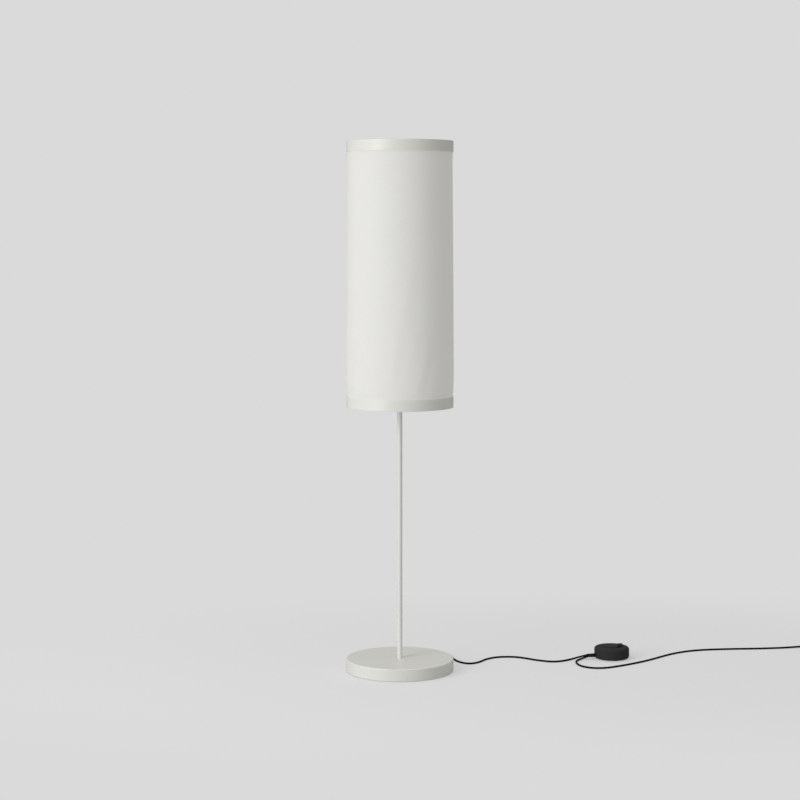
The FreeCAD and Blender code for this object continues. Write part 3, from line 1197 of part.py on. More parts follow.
def make_dimmer_case():
    """Lower and upper shell, with seam, pillars, post, knob slot and the shallow groove round it."""
    bottom = DIMMER_FOOT_LIFT
    floor_top = DIMMER_FLOOR
    inner_r = DIMMER_R - DIMMER_WALL
    lip = DIMMER_WALL / 2
    tongue = 1.6
    joint = DIMMER_SPLIT - tongue
    base = turned([(0, bottom), (DIMMER_R, bottom, DIMMER_EDGE_R), (DIMMER_R, DIMMER_SPLIT),
                   (DIMMER_R - lip, DIMMER_SPLIT), (DIMMER_R - lip, joint), (inner_r, joint),
                   (inner_r, floor_top, DIMMER_EDGE_R - DIMMER_WALL), (0, floor_top)])
    post = fused([Part.makeCylinder(POST_D / 2, CARRIER_TOP - floor_top + 1, Vector(0, 0, floor_top - 1)),
                  Part.makeCylinder(SHOULDER_R, HUB_UNDER - floor_top + 1, Vector(0, 0, floor_top - 1))])
    stand_places = [(polar(TRACK_STAND_RING, azimuth), TRACK_TOP - TRACK_THICK) for azimuth in TRACK_STANDS]
    stand_places += [(Vector(x, y, 0), BOARD_HEIGHT) for x, y in BOARD_STANDS]
    stand_places += [(place, DIMMER_CORD_HEIGHT + CORD_R) for place in clamp_posts()]
    stands = [Part.makeCylinder(STAND_D / 2, top - floor_top + 1, place + Vector(0, 0, floor_top - 1))
              for place, top in stand_places]
    pillar_spots = [polar(PILLAR_RING, azimuth) for azimuth in pillar_azimuths()]
    foot_spots = [polar(DIMMER_FOOT_RING, azimuth) for azimuth in foot_azimuths()]
    screw_seats = [Part.makeCylinder(PILLAR_D / 2, joint - floor_top + 1, spot + Vector(0, 0, floor_top - 1))
                   for spot in pillar_spots]
    base = fused([base, post, *stands, *screw_seats])
    screw_r = CASE_SCREW_D / 2
    holes = [Part.makeCylinder(screw_r + RUN_GAP, DIMMER_SPLIT, spot) for spot in pillar_spots]
    holes += [Part.makeCylinder(CASE_SCREW_D + RUN_GAP, bottom + CASE_SCREW_SINK, spot)
              for spot in pillar_spots]
    foot_seats = [Part.makeCylinder(DIMMER_FOOT_D / 2 + RUN_GAP, DIMMER_FOOT_THICK, spot)
                  for spot in foot_spots]
    save_on_dimmer("dimmer_base", cut(base, [*holes, *foot_seats, *cord_notches()]))

    shoulder = DIMMER_HEIGHT - DIMMER_CROWN
    ceiling = DIMMER_ROOF - DIMMER_CROWN
    tongue_r = DIMMER_R - lip - RUN_GAP
    cover = turned([(DIMMER_R, DIMMER_SPLIT), (DIMMER_R, shoulder, DIMMER_SHOULDER_R),
                    (DIMMER_R * 0.45, DIMMER_HEIGHT, DIMMER_CROWN_R), (0, DIMMER_HEIGHT), (0, ceiling),
                    (inner_r, ceiling, DIMMER_SHOULDER_R - DIMMER_WALL), (inner_r, joint), (tongue_r, joint),
                    (tongue_r, DIMMER_SPLIT)])
    pillars = [Part.makeCylinder(PILLAR_D / 2, ceiling - joint + 1, spot + Vector(0, 0, joint))
               for spot in pillar_spots]
    clamp_top = DIMMER_CORD_HEIGHT + CORD_R + DIMMER_CLAMP_THICK
    ribs = [Part.makeCylinder(STAND_D / 2, ceiling - clamp_top + 1, place + Vector(0, 0, clamp_top))
            for place in clamp_posts()]
    cover = fused([cover, *pillars, *ribs])
    bore_length = CASE_SCREW_LENGTH + CASE_SCREW_SINK + 1
    screw_bores = [Part.makeCylinder(screw_r + RUN_GAP, bore_length, spot + Vector(0, 0, bottom))
                   for spot in pillar_spots]
    first = KNOB_AZIMUTH - KNOB_SWEEP - SLOT_PLAY_DEG
    last = KNOB_AZIMUTH + SLOT_PLAY_DEG
    slot = arc_slot(KNOB_ORBIT, SLOT_WIDTH / 2, first, last, DIMMER_SPLIT, DIMMER_HEIGHT)
    groove = arc_slot(KNOB_ORBIT, GROOVE_WIDTH / 2, first, last, DIMMER_HEIGHT - GROOVE_DEPTH, DIMMER_CROWN)
    cover = cut(cover, [*screw_bores, slot, groove, *cord_notches()])
    save_on_dimmer("dimmer_cover", cover)

    seat = bottom + CASE_SCREW_SINK
    head_low = seat - CASE_SCREW_HEAD
    end = seat + CASE_SCREW_LENGTH
    screw = turned([(0, head_low), (CASE_SCREW_D, head_low, 0.5), (CASE_SCREW_D, seat), (screw_r, seat),
                    (screw_r, end), (0, end)])
    save_on_dimmer("dimmer_screws", Part.Compound([screw.translated(spot) for spot in pillar_spots]))
    foot_r = DIMMER_FOOT_D / 2
    foot = turned([(0, 0), (foot_r, 0, 0.5), (foot_r, DIMMER_FOOT_THICK), (0, DIMMER_FOOT_THICK)])
    save_on_dimmer("dimmer_feet", Part.Compound([foot.translated(spot) for spot in foot_spots]))


def make_dimmer_slider():
    """What turns on the post: carrier disc with hub and knob stem, contact spring, and the knob on top."""
    bottom = CARRIER_TOP - CARRIER_THICK
    bore_r = POST_D / 2 + RUN_GAP
    hub_r = CARRIER_HUB_D / 2
    disc = turned([(bore_r, HUB_UNDER), (hub_r, HUB_UNDER, 0.6), (hub_r, bottom, 0.8),
                   (CARRIER_R, bottom, 0.5), (CARRIER_R, CARRIER_TOP, 0.5), (bore_r, CARRIER_TOP)])
    knob_bottom = DIMMER_HEIGHT + KNOB_LIFT
    at = polar(KNOB_ORBIT, KNOB_AZIMUTH)
    stem_top = knob_bottom + KNOB_HEIGHT * 0.6
    stem = Part.makeCylinder(KNOB_STEM_D / 2, stem_top - bottom, at + Vector(0, 0, bottom))
    save_on_dimmer("dimmer_carrier", fused([disc, stem]))

    knob_r = KNOB_D / 2
    knob_top = knob_bottom + KNOB_HEIGHT
    knob = turned([(0, knob_bottom), (knob_r, knob_bottom, 0.5), (knob_r, knob_top, 1.2),
                   (knob_r * 0.72, knob_top), (0, knob_top - KNOB_DISH)])
    flute_ring = knob_r + KNOB_FLUTE_R - KNOB_FLUTE_DEPTH
    cuts = [Part.makeCylinder(KNOB_FLUTE_R, KNOB_HEIGHT * 0.6,
                              polar(flute_ring, 360 / KNOB_FLUTE_COUNT * k, knob_bottom + KNOB_HEIGHT * 0.2))
            for k in range(KNOB_FLUTE_COUNT)]
    cuts.append(Part.makeCylinder(KNOB_STEM_D / 2 + RUN_GAP, stem_top - knob_bottom + 1,
                                  Vector(0, 0, knob_bottom - 1)))
    save_on_dimmer("dimmer_knob", cut(knob, cuts).translated(at))
    save_on_dimmer("dimmer_wiper", wiper(WIPER_BLADE, TRACK_DROP - SEAT_GAP, bottom))


def wiper(blade, reach, top):
    """Sprung contact: a flat foot under the carrier and a bent finger that reaches down to the track."""
    low = -reach
    outline = [(-6, -blade), (-6, 0), (-1, 0), (3, low + blade), (5, low + blade), (6, low + 2 * blade),
               (6, low + blade), (5, low), (2.8, low), (-1.2, -blade)]
    strip = positive(Part.Face(rounded_wire(outline, upright)).extrude(Vector(0, WIPER_WIDTH, 0)))
    strip.translate(Vector(0, -WIPER_WIDTH / 2, top))
    strip.rotate(Vector(0, 0, 0), Vector(0, 0, 1), 90)
    return spun(strip.translated(Vector(TRACK_R - 8, 0, 0)), KNOB_AZIMUTH + 180)


def make_dimmer_inside():
    """Resistive track, circuit board with its parts, cord clamp, reliefs and leads."""
    track_bottom = TRACK_TOP - TRACK_THICK
    save_on_dimmer("dimmer_track", turned([(TRACK_BORE_D / 2, track_bottom), (TRACK_R, track_bottom),
                                           (TRACK_R, TRACK_TOP), (TRACK_BORE_D / 2, TRACK_TOP)]))

    near, far, side_y = BOARD_REAR, BOARD_FRONT, BOARD_HALF_WIDTH
    board = prism([(near, -side_y, 4), (far, -side_y, 14), (far, side_y, 14), (near, side_y, 4)],
                  BOARD_HEIGHT, BOARD_THICK)
    round_what = [(SHOULDER_R, Vector(0, 0, 0))]
    round_what += [(STAND_D / 2, polar(TRACK_STAND_RING, azimuth)) for azimuth in TRACK_STANDS]
    round_what += [(PILLAR_D / 2, polar(PILLAR_RING, azimuth)) for azimuth in pillar_azimuths()]
    clear = [Part.makeCylinder(radius + BOARD_CLEAR, DIMMER_SPLIT, spot) for radius, spot in round_what]
    save_on_dimmer("dimmer_board", cut(board, clear))

    on_board = BOARD_HEIGHT + BOARD_THICK
    choke_top = track_bottom - CHOKE_UNDER_TRACK
    choke_r = CHOKE_D / 2
    bore_r = CHOKE_BORE_D / 2
    choke = turned([(bore_r, on_board, 1), (choke_r, on_board, 1.6), (choke_r, choke_top, 1.6),
                    (bore_r, choke_top, 1)])
    save_on_dimmer("dimmer_choke", choke.translated(Vector(CHOKE_X, 0, 0)))
    length, width, height = CAPACITOR_SIZE
    capacitor = prism(rounded_rectangle(CAPACITOR_X, 0, length, width, 1), on_board, height)
    save_on_dimmer("dimmer_capacitor", capacitor)
    length, width, height = TERMINAL_SIZE
    terminal_x = BOARD_REAR + length / 2
    terminal = block(length, width, height, terminal_x, 0, on_board)
    well = Vector(terminal_x, 0, on_board + height * 2 / 3)
    wells = [Part.makeCylinder(TERMINAL_WELL_D / 2, height, well + Vector(0, side * DIMMER_CORD_GAP / 2, 0))
             for side in (-1, 1)]
    wells.append(Part.makeCylinder(SHOULDER_R + BOARD_CLEAR, DIMMER_HEIGHT))
    save_on_dimmer("dimmer_terminals", cut(terminal, wells))

    save_on_dimmer("dimmer_reliefs", Part.Compound(dimmer_reliefs()))
    inner_face = flange_face() - DIMMER_FLANGE
    leads = [rod(CORD_R, Vector(-inner_face, side * DIMMER_CORD_GAP / 2, DIMMER_CORD_HEIGHT), Vector(1, 0, 0),
                 BOARD_REAR + inner_face) for side in (-1, 1)]
    save_on_dimmer("dimmer_leads", Part.Compound(leads))
    bar = rounded_rectangle(-DIMMER_CLAMP_AT, 0, 6, DIMMER_CLAMP_SPAN + STAND_D + 1, 2)
    save_on_dimmer("dimmer_clamp", prism(bar, DIMMER_CORD_HEIGHT + CORD_R, DIMMER_CLAMP_THICK))


# ================================================================ whole
os.makedirs("parts", exist_ok=True)
make_foot()
make_foot_cord()
make_stem()
make_inner_lead()
make_shade()
make_lamps()
make_dimmer_case()
make_dimmer_slider()
make_dimmer_inside()
make_cords()
make_coil_tie()
make_plug()
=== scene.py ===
import math

import bmesh
import bpy
import numpy as np
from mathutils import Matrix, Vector


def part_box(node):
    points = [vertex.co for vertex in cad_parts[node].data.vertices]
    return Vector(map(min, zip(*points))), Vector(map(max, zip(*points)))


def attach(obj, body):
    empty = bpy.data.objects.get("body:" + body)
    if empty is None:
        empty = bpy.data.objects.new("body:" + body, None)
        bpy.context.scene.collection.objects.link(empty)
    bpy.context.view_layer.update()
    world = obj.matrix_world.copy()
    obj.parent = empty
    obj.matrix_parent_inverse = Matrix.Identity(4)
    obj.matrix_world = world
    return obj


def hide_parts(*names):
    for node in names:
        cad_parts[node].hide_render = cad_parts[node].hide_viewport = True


# The column floor lamp in its room light: painted steel foot, stem and bands, a cloth sleeve stretched
# between the bands, opal bulbs, and a black cord with a round dimmer.  Metres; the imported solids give
# every place, and the front is -Y.

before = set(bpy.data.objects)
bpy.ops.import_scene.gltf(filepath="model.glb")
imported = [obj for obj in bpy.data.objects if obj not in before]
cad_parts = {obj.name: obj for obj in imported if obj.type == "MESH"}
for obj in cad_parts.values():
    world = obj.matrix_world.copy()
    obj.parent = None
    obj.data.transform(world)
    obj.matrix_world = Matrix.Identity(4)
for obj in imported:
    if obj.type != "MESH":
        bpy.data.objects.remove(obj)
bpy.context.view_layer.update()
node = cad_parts

# ---------------------------------------------------------------- sizes and places
BAND_HEIGHT = 0.029
HEM_RADIUS = 0.1382       # outside of the cloth where a band covers it
CLOTH_THICK = 0.0006
CORD_D = 0.005
CORD_R = CORD_D / 2
CORD_EXIT_AZIMUTH = 75.0
CORD_EXIT = (0.165, 0.0095)      # radius and height of the relief's tip in the foot
EXIT_RUN = 0.027
DIMMER_PLACE = (0.5683, 0.1440)
DIMMER_YAW = 12.0
DIMMER_TIP = (-0.0665, 0.0065, 0.0096)
DIMMER_RUN = 0.0165
LAMP_CORD_SAG = (0, 0, 0.0030)    # how far each cord has dropped at the end of that run
MAINS_CORD_SAG = (0, 0, 0.0052)
COIL_PLACE = (1.150, 0.241)
COIL_TURNS = 5.25
COIL_MID_R = 0.030
COIL_PITCH = 0.0057
COIL_START_AZIMUTH = 101.0
COIL_RUN = 0.042
TAIL_RUN = 0.015
TAIL_TURN_DEG = 6.0
PLUG_AXIS = 0.00685
TIE_THICK = 0.001
TIE_WIDTH = 0.010
TIE_AZIMUTH = 215.0
SEAT_GAP = 0.0003

# Routes of the two free stretches: x, y and the height of the cord's underside.
ROUTE_TO_DIMMER = [
    (0.0790, 0.2090, 0.0022), (0.1110, 0.2030, 0), (0.1320, 0.1740, 0), (0.1382, 0.1470, 0),
    (0.1420, 0.1267, 0), (0.1466, 0.1100, 0), (0.1524, 0.0935, 0), (0.1632, 0.0767, 0),
    (0.1764, 0.0660, 0), (0.1903, 0.0650, 0), (0.2028, 0.0735, 0), (0.2142, 0.0885, 0),
    (0.2210, 0.1005, 0), (0.2318, 0.1205, 0), (0.2621, 0.1460, 0), (0.3087, 0.1475, 0),
    (0.3409, 0.1261, 0), (0.3585, 0.1095, 0), (0.3974, 0.0869, 0), (0.4242, 0.0900, 0),
    (0.4492, 0.1068, 0.0006), (0.4620, 0.1160, 0.0016), (0.4738, 0.1236, 0.0030)]
ROUTE_TO_PLUG = [
    (0.4752, 0.1070, 0.0004), (0.4682, 0.0915, 0), (0.4672, 0.0745, 0), (0.4700, 0.0520, 0),
    (0.4800, 0.0283, 0), (0.5050, 0.0100, 0), (0.5370, 0.0113, 0), (0.5700, 0.0303, 0),
    (0.6060, 0.0562, 0), (0.6400, 0.0840, 0), (0.6720, 0.1152, 0), (0.7020, 0.1490, 0),
    (0.7340, 0.1830, 0), (0.7740, 0.2130, 0), (0.8200, 0.2330, 0), (0.8680, 0.2410, 0),
    (0.9200, 0.2470, 0), (0.9780, 0.2500, 0), (1.0280, 0.2568, 0), (1.0660, 0.2636, 0.0003)]

# ---------------------------------------------------------------- cloth
CIRCUMFERENCE = 2 * math.pi * HEM_RADIUS
SEAM_AZIMUTH = 180.0      # measured from the front, towards the right
SEAM_WIDTH = 0.010
CLOTH_PAINTED_GLOW = 0.175     # painted glow: emission strength that stands in for light coming through the cloth from the far side of the sleeve
# Folds: azimuth from the front and height of the upper end, the same of the lower end, width, depth.
FOLDS = [(34, 0.870, 18, 0.720, 0.0110, 0.0007), (4, 0.985, -11, 0.722, 0.0115, 0.0005),
         (14, 1.110, 4, 0.870, 0.0130, 0.0003), (-62, 0.860, -76, 0.722, 0.0090, 0.0008),
         (82, 0.905, 68, 0.722, 0.0085, 0.0009), (128, 0.880, 112, 0.722, 0.0080, 0.0010),
         (158, 0.960, 146, 0.725, 0.0090, 0.0007), (-112, 0.930, -128, 0.722, 0.0085, 0.0010),
         (-150, 0.870, -163, 0.722, 0.0075, 0.0009)]

# ---------------------------------------------------------------- room light and camera
BACKGROUND = (0.700, 0.700, 0.700)
FLOOR_GLOW = 0.45         # own light's share of the floor near the lamp
FLOOR_OVAL = (0.55, 1.0, 1.0)
FLOOR_SHIFT = (-0.22, -0.05, 0.0)
FLOOR_NEAR = 0.35
FLOOR_FAR = 1.15
ROOM_LOW = 0.17
ROOM_HIGH = 0.80
ROOM_TINT = (1.0, 1.0, 0.965)
CAMERA_DISTANCE = 5.15
CAMERA_HEIGHT = 1.153
FOCAL_PIXELS = 1974.0
IMAGE_PIXELS = 800.0
HORIZON_ROW = 228.0
AXIS_COLUMN = 399.8


# ================================================================ surfaces
def new_object(name, points, faces, uvs=None):
    """Object of an array of points and an array of faces with the same number of corners each."""
    mesh = bpy.data.meshes.new(name)
    mesh.vertices.add(len(points))
    mesh.vertices.foreach_set("co", np.asarray(points, np.float32).ravel())
    corners = np.asarray(faces, np.int32)
    mesh.loops.add(corners.size)
    mesh.loops.foreach_set("vertex_index", corners.ravel())
    mesh.polygons.add(len(corners))
    mesh.polygons.foreach_set("loop_start", np.arange(0, corners.size, corners.shape[1], dtype=np.int32))
    mesh.polygons.foreach_set("use_smooth", np.ones(len(corners), bool))
    if uvs is not None:
        layer = mesh.uv_layers.new(name="surface")
        layer.data.foreach_set("uv", np.asarray(uvs, np.float32)[corners.ravel()].ravel())
    mesh.update(calc_edges=True)
    mesh.validate()
    piece = bpy.data.objects.new(name, mesh)
    bpy.context.scene.collection.objects.link(piece)
    return piece


def grid_faces(rows, columns, round_rows=False, round_columns=False):
    """Four-cornered faces of a grid of points, numbered row by row; a round side joins its last to its first."""
    row = np.arange(rows if round_rows else rows - 1)
    column = np.arange(columns if round_columns else columns - 1)
    r, c = np.meshgrid(row, column, indexing="ij")
    below, right = (r + 1) % rows, (c + 1) % columns
    corners = [r * columns + c, below * columns + c, below * columns + right, r * columns + right]
    return np.stack(corners, axis=-1).reshape(-1, 4)


def polar(radius, azimuth, height=0.0):
    """Point at a radius, an azimuth in degrees and a height."""
    angle = math.radians(azimuth)
    return np.array([radius * math.cos(angle), radius * math.sin(angle), height])


def smooth_step(x):
    """0 below 0, 1 above 1, and the cubic with level ends between."""
    t = np.clip(x, 0, 1)
    return t * t * (3 - 2 * t)


# ================================================================ shading
# Places of a Mix node's colour sockets among its sockets of all types.
MIX_FIRST = 6
MIX_SECOND = 7
MIX_COLOUR = 2


class Signal:
    """A socket that carries a number over a surface, with the arithmetic of numbers."""

    def __init__(self, finish, socket):
        self.finish = finish
        self.socket = socket

    def joined(self, operation, *others):
        """The Math node of an operation on this signal and others."""
        made = self.finish.node("ShaderNodeMath", {"operation": operation}, [self, *others])
        return Signal(self.finish, made.outputs[0])

    def __add__(self, other):
        return self.joined("ADD", other)

    __radd__ = __add__

    def __mul__(self, other):
        return self.joined("MULTIPLY", other)

    __rmul__ = __mul__

    def __sub__(self, other):
        return self.joined("SUBTRACT", other)

    def __rsub__(self, other):
        return (self * -1.0) + other

    def sine(self):
        """Sine of this signal in radians."""
        return self.joined("SINE")

    def within(self, low, high):
        """0 at low and 1 at high, held beyond them."""
        ranged = self.finish.node("ShaderNodeMapRange", {"clamp": True, "interpolation_type": "SMOOTHSTEP"},
                                  {"Value": self, "From Min": low, "From Max": high})
        return Signal(self.finish, ranged.outputs[0])


class Finish:
    """A material: one method makes its nodes, and the rest name the few patterns that finishes share."""

    def __init__(self, name):
        self.material = bpy.data.materials.new(name)
        self.material.use_nodes = True
        self.tree = self.material.node_tree
        self.shader = self.tree.nodes["Principled BSDF"]

    def node(self, kind, settings=None, inputs=None):
        """A node of a type, its settings made first, then the values or links of its sockets."""
        made = self.tree.nodes.new(kind)
        for name, value in (settings or {}).items():
            setattr(made, name, value)
        pairs = inputs.items() if isinstance(inputs, dict) else enumerate(inputs or [])
        for key, value in pairs:
            self.feed(made.inputs[key], value)
        return made

    def feed(self, socket, value):
        """Sets a socket to a value, or links a signal or another socket to it."""
        if isinstance(value, Signal):
            value = value.socket
        if isinstance(value, bpy.types.NodeSocket):
            self.tree.links.new(value, socket)
        else:
            socket.default_value = value

    def set(self, **values):
        """Constant sockets of the shader, by name with underscores for spaces."""
        for name, value in values.items():
            self.shader.inputs[name.replace("_", " ")].default_value = value
        return self

    def place(self, stretch=(1, 1, 1)):
        """Object coordinates, stretched along the axes."""
        source = self.node("ShaderNodeTexCoord").outputs["Object"]
        return self.node("ShaderNodeMapping", None, {"Vector": source, "Scale": stretch}).outputs[0]

    def surface_metres(self):
        """The piece's own surface coordinates, in metres along and across it."""
        source = self.node("ShaderNodeUVMap", {"uv_map": "surface"}).outputs[0]
        parts = self.node("ShaderNodeSeparateXYZ", None, [source])
        return source, Signal(self, parts.outputs[0]), Signal(self, parts.outputs[1])

    def noise(self, place, per_metre, detail=2.0, rough=0.5):
        """Soft noise from 0 to 1 with so many cells in a metre."""
        made = self.node("ShaderNodeTexNoise", None,
                         {"Vector": place, "Scale": per_metre, "Detail": detail, "Roughness": rough})
        return Signal(self, made.outputs[0])

    def cells(self, place, per_metre):
        """Distance to the nearest of scattered points, for grained and cast surfaces."""
        made = self.node("ShaderNodeTexVoronoi", {"feature": "F1"}, {"Vector": place, "Scale": per_metre})
        return Signal(self, made.outputs["Distance"])

    def blended(self, share, first, second):
        """Colour between two, by a signal from 0 to 1."""
        mixed = self.node("ShaderNodeMix", {"data_type": "RGBA"})
        self.feed(mixed.inputs["Factor"], share)
        self.feed(mixed.inputs[MIX_FIRST], first)
        self.feed(mixed.inputs[MIX_SECOND], second)
        return mixed.outputs[MIX_COLOUR]

    def colour(self, source):
        """Feeds the base colour."""
        self.feed(self.shader.inputs["Base Color"], source)
        return self

    def roughness(self, source):
        """Feeds the roughness."""
        self.feed(self.shader.inputs["Roughness"], source)
        return self

    def relief(self, height, depth, strength=1.0):
        """Bumps the surface by a height signal, whose full range stands for a depth in metres."""
        bump = self.node("ShaderNodeBump", None, {"Height": height, "Distance": depth, "Strength": strength})
        self.feed(self.shader.inputs["Normal"], bump.outputs[0])
        return self


def rgba(red, green, blue):
    """Colour socket value."""
    return (red, green, blue, 1.0)


def powder_coat():
    """Satin off-white powder coat: a fine orange peel over a slower wave; the colour is a little darker in the
    peel's dips, painted shade, and drifts at random with the wave.
    """
    coat = Finish("powder_coat")
    place = coat.place()
    peel = coat.noise(place, 900, 2.0)
    drift = coat.noise(place, 9, 2.0)
    # Colour: painted shade in the peel's dips, where the same signal sinks the bumps, over a slow random drift of
    # tone.
    coat.colour(coat.blended(peel * 0.5 + drift * 0.5, rgba(0.800, 0.798, 0.760), rgba(0.850, 0.848, 0.812)))
    coat.roughness(peel * 0.10 + drift * 0.06 + 0.33)
    return coat.relief(peel, 0.00006, 0.55).material


def woven_cloth():
    """Fine plain weave: over-and-under threads both ways, slubs, thread-by-thread tone, and a painted glow that
    stands in for light through the cloth.
    """
    cloth = Finish("woven_cloth")
    source, across, up = cloth.surface_metres()
    threads = 2 * math.pi / 0.00110
    wander = cloth.noise(source, 160, 2.0) * 1.4
    warp = (across * threads + wander).sine()
    weft = (up * threads + wander).sine()
    weave = (warp * weft) * 0.5 + 0.5
    slub = cloth.noise(cloth.node("ShaderNodeMapping", None, {"Vector": source, "Scale": (1, 26, 1)}).outputs[0],
                       45, 3.0)
    pick = cloth.noise(cloth.node("ShaderNodeMapping", None, {"Vector": source, "Scale": (26, 1, 1)}).outputs[0],
                       45, 3.0)
    tone = weave * 0.35 + slub * 0.35 + pick * 0.30
    cloth.colour(cloth.blended(tone.within(0.25, 0.75), rgba(0.630, 0.628, 0.616), rgba(0.678, 0.676, 0.665)))
    cloth.roughness(weave * 0.08 + 0.84)
    cloth.set(Sheen_Weight=0.25, Sheen_Roughness=0.45, Specular_IOR_Level=0.25)
    # Painted glow: the cloth is no lamp, and this emission stands in for light passing through it from the far side
    # of the sleeve.
    cloth.feed(cloth.shader.inputs["Emission Color"],
               cloth.blended(tone.within(0.25, 0.75), rgba(0.94, 0.93, 0.90), rgba(1.0, 0.99, 0.96)))
    cloth.set(Emission_Strength=CLOTH_PAINTED_GLOW)
    return cloth.relief(weave * 0.7 + slub * 0.3, 0.00012, 0.5).material


def moulded(name, dark, light, rough, grain_per_metre, depth, strength):
    """Moulded plastic or rubber: spark-eroded grain, and a slow change of tone and gloss."""
    stuff = Finish(name)
    place = stuff.place()
    grain = stuff.noise(place, grain_per_metre, 3.0)
    drift = stuff.noise(place, 24, 2.0)
    stuff.colour(stuff.blended(grain * 0.4 + drift * 0.6, rgba(*dark), rgba(*light)))
    stuff.roughness(grain * 0.12 + drift * 0.08 + (rough - 0.10))
    stuff.relief(grain, depth, strength)
    return stuff


def plated_steel():
    """Zinc plating: fine clouding, and a gloss that comes and goes."""
    metal = Finish("plated_steel")
    place = metal.place()
    cloud = metal.noise(place, 260, 4.0, 0.6)
    metal.colour(metal.blended(cloud, rgba(0.50, 0.51, 0.53), rgba(0.68, 0.68, 0.69)))
    metal.roughness(cloud * 0.20 + 0.22)
    metal.set(Metallic=1.0)
    return metal.relief(cloud, 0.00002, 0.4).material


def warm_metal(name, dark, light):
    """Drawn brass or enamelled copper, with streaks along its height."""
    metal = Finish(name)
    streak = metal.noise(metal.place((1, 1, 0.15)), 900, 3.0)
    metal.colour(metal.blended(streak, rgba(*dark), rgba(*light)))
    metal.roughness(streak * 0.18 + 0.2)
    metal.set(Metallic=1.0)
    return metal.relief(streak, 0.00002, 0.4).material


def cast_iron():
    """Sand-cast surface: lumps over grains."""
    iron = Finish("cast_iron")
    place = iron.place()
    lumps = iron.cells(place, 420)
    grain = iron.noise(place, 1800, 3.0)
    iron.colour(iron.blended(lumps * 0.5 + grain * 0.5, rgba(0.075, 0.075, 0.08), rgba(0.16, 0.16, 0.165)))
    iron.roughness(grain * 0.2 + 0.6)
    iron.set(Metallic=0.4)
    return iron.relief(lumps * 0.6 + grain * 0.4, 0.0003, 0.6).material


def pressed_felt():
    """Dark felt: short fibres in all directions."""
    felt = Finish("pressed_felt")
    place = felt.place()
    fibre = felt.noise(place, 2400, 4.0, 0.7)
    clump = felt.noise(place, 160, 2.0)
    felt.colour(felt.blended(fibre * 0.6 + clump * 0.4, rgba(0.06, 0.06, 0.064), rgba(0.15, 0.15, 0.155)))
    felt.roughness(fibre * 0.1 + 0.88)
    felt.set(Sheen_Weight=0.4)
    return felt.relief(fibre, 0.0004, 0.7).material


def opal_plastic():
    """Opal diffuser of a bulb: milky, smooth, with faint flow lines."""
    opal = Finish("opal_plastic")
    flow = opal.noise(opal.place((1, 1, 3)), 60, 2.0)
    opal.colour(opal.blended(flow, rgba(0.86, 0.86, 0.84), rgba(0.92, 0.92, 0.91)))
    opal.roughness(flow * 0.08 + 0.28)
    opal.set(Coat_Weight=0.25, Coat_Roughness=0.15, Subsurface_Weight=0.25, Subsurface_Scale=0.01)
    return opal.relief(flow, 0.00004, 0.3).material


def cord_sheath():
    """Black cord: matt sheath with fine lengthwise flow and a faint waviness."""
    sheath = moulded("cord_sheath", (0.006, 0.006, 0.0065), (0.011, 0.011, 0.0115), 0.55, 1500, 0.00005, 0.5)
    sheath.set(Specular_IOR_Level=0.02)
    return sheath.material


def strap_weave():
    """Narrow woven strap: diagonal ribs across its width."""
    strap = Finish("strap_weave")
    source, along, across = strap.surface_metres()
    rib = ((along + across) * (2 * math.pi / 0.0011)).sine() * 0.5 + 0.5
    cross = ((along - across) * (2 * math.pi / 0.0011)).sine() * 0.5 + 0.5
    fuzz = strap.noise(source, 3000, 3.0)
    weave = rib * 0.5 + cross * 0.3 + fuzz * 0.2
    strap.colour(strap.blended(weave, rgba(0.012, 0.012, 0.013), rgba(0.045, 0.045, 0.048)))
    strap.roughness(fuzz * 0.1 + 0.8)
    strap.set(Sheen_Weight=0.3)
    return strap.relief(weave, 0.0002, 0.8).material


def sewing_thread():
    """Off-white sewing thread, twisted."""
    thread = Finish("sewing_thread")
    twist = thread.noise(thread.place((1, 1, 4)), 2600, 2.0)
    thread.colour(thread.blended(twist, rgba(0.74, 0.735, 0.71), rgba(0.86, 0.855, 0.84)))
    thread.roughness(twist * 0.1 + 0.7)
    return thread.relief(twist, 0.0001, 0.6).material


# ================================================================ cloth sleeve
def cloth_offset(arc, height, low, high):
    """How far the cloth stands out from its hem: slack that gathers low, soft slanting folds, a slow waver."""
    t = np.clip((height - low) / (high - low), 0, 1)
    ends = (1 - np.exp(-t / 0.035)) * (1 - np.exp(-(1 - t) / 0.035))
    slack = ends * (0.0030 - 0.0042 * t ** 1.3)
    out = slack + ends * 0.00025 * np.sin(arc * 2 * math.pi * 3 / CIRCUMFERENCE + 4 * t)
    for top_azimuth, top, bottom_azimuth, bottom, width, depth in FOLDS:
        share = (top - height) / (top - bottom)
        line = np.radians(top_azimuth + (bottom_azimuth - top_azimuth) * share) * HEM_RADIUS
        aside = (arc - line + CIRCUMFERENCE / 2) % CIRCUMFERENCE - CIRCUMFERENCE / 2
        along = smooth_step(share / 0.45) * smooth_step((1.08 - share) / 0.3)
        ridge = np.exp(-(aside / width) ** 2)
        valley = np.exp(-((aside - 1.7 * width) / (1.3 * width)) ** 2)
        out = out + ends * depth * along * (ridge - 0.9 * valley)
    return out


def sleeve_columns():
    """Arc lengths of the sleeve's columns from its seam, closer together where the lap's edges are."""
    even = np.linspace(SEAM_WIDTH, CIRCUMFERENCE - SEAM_WIDTH, 290)
    near = np.linspace(-SEAM_WIDTH, SEAM_WIDTH, 21)[1:-1]
    return np.concatenate([near, even])


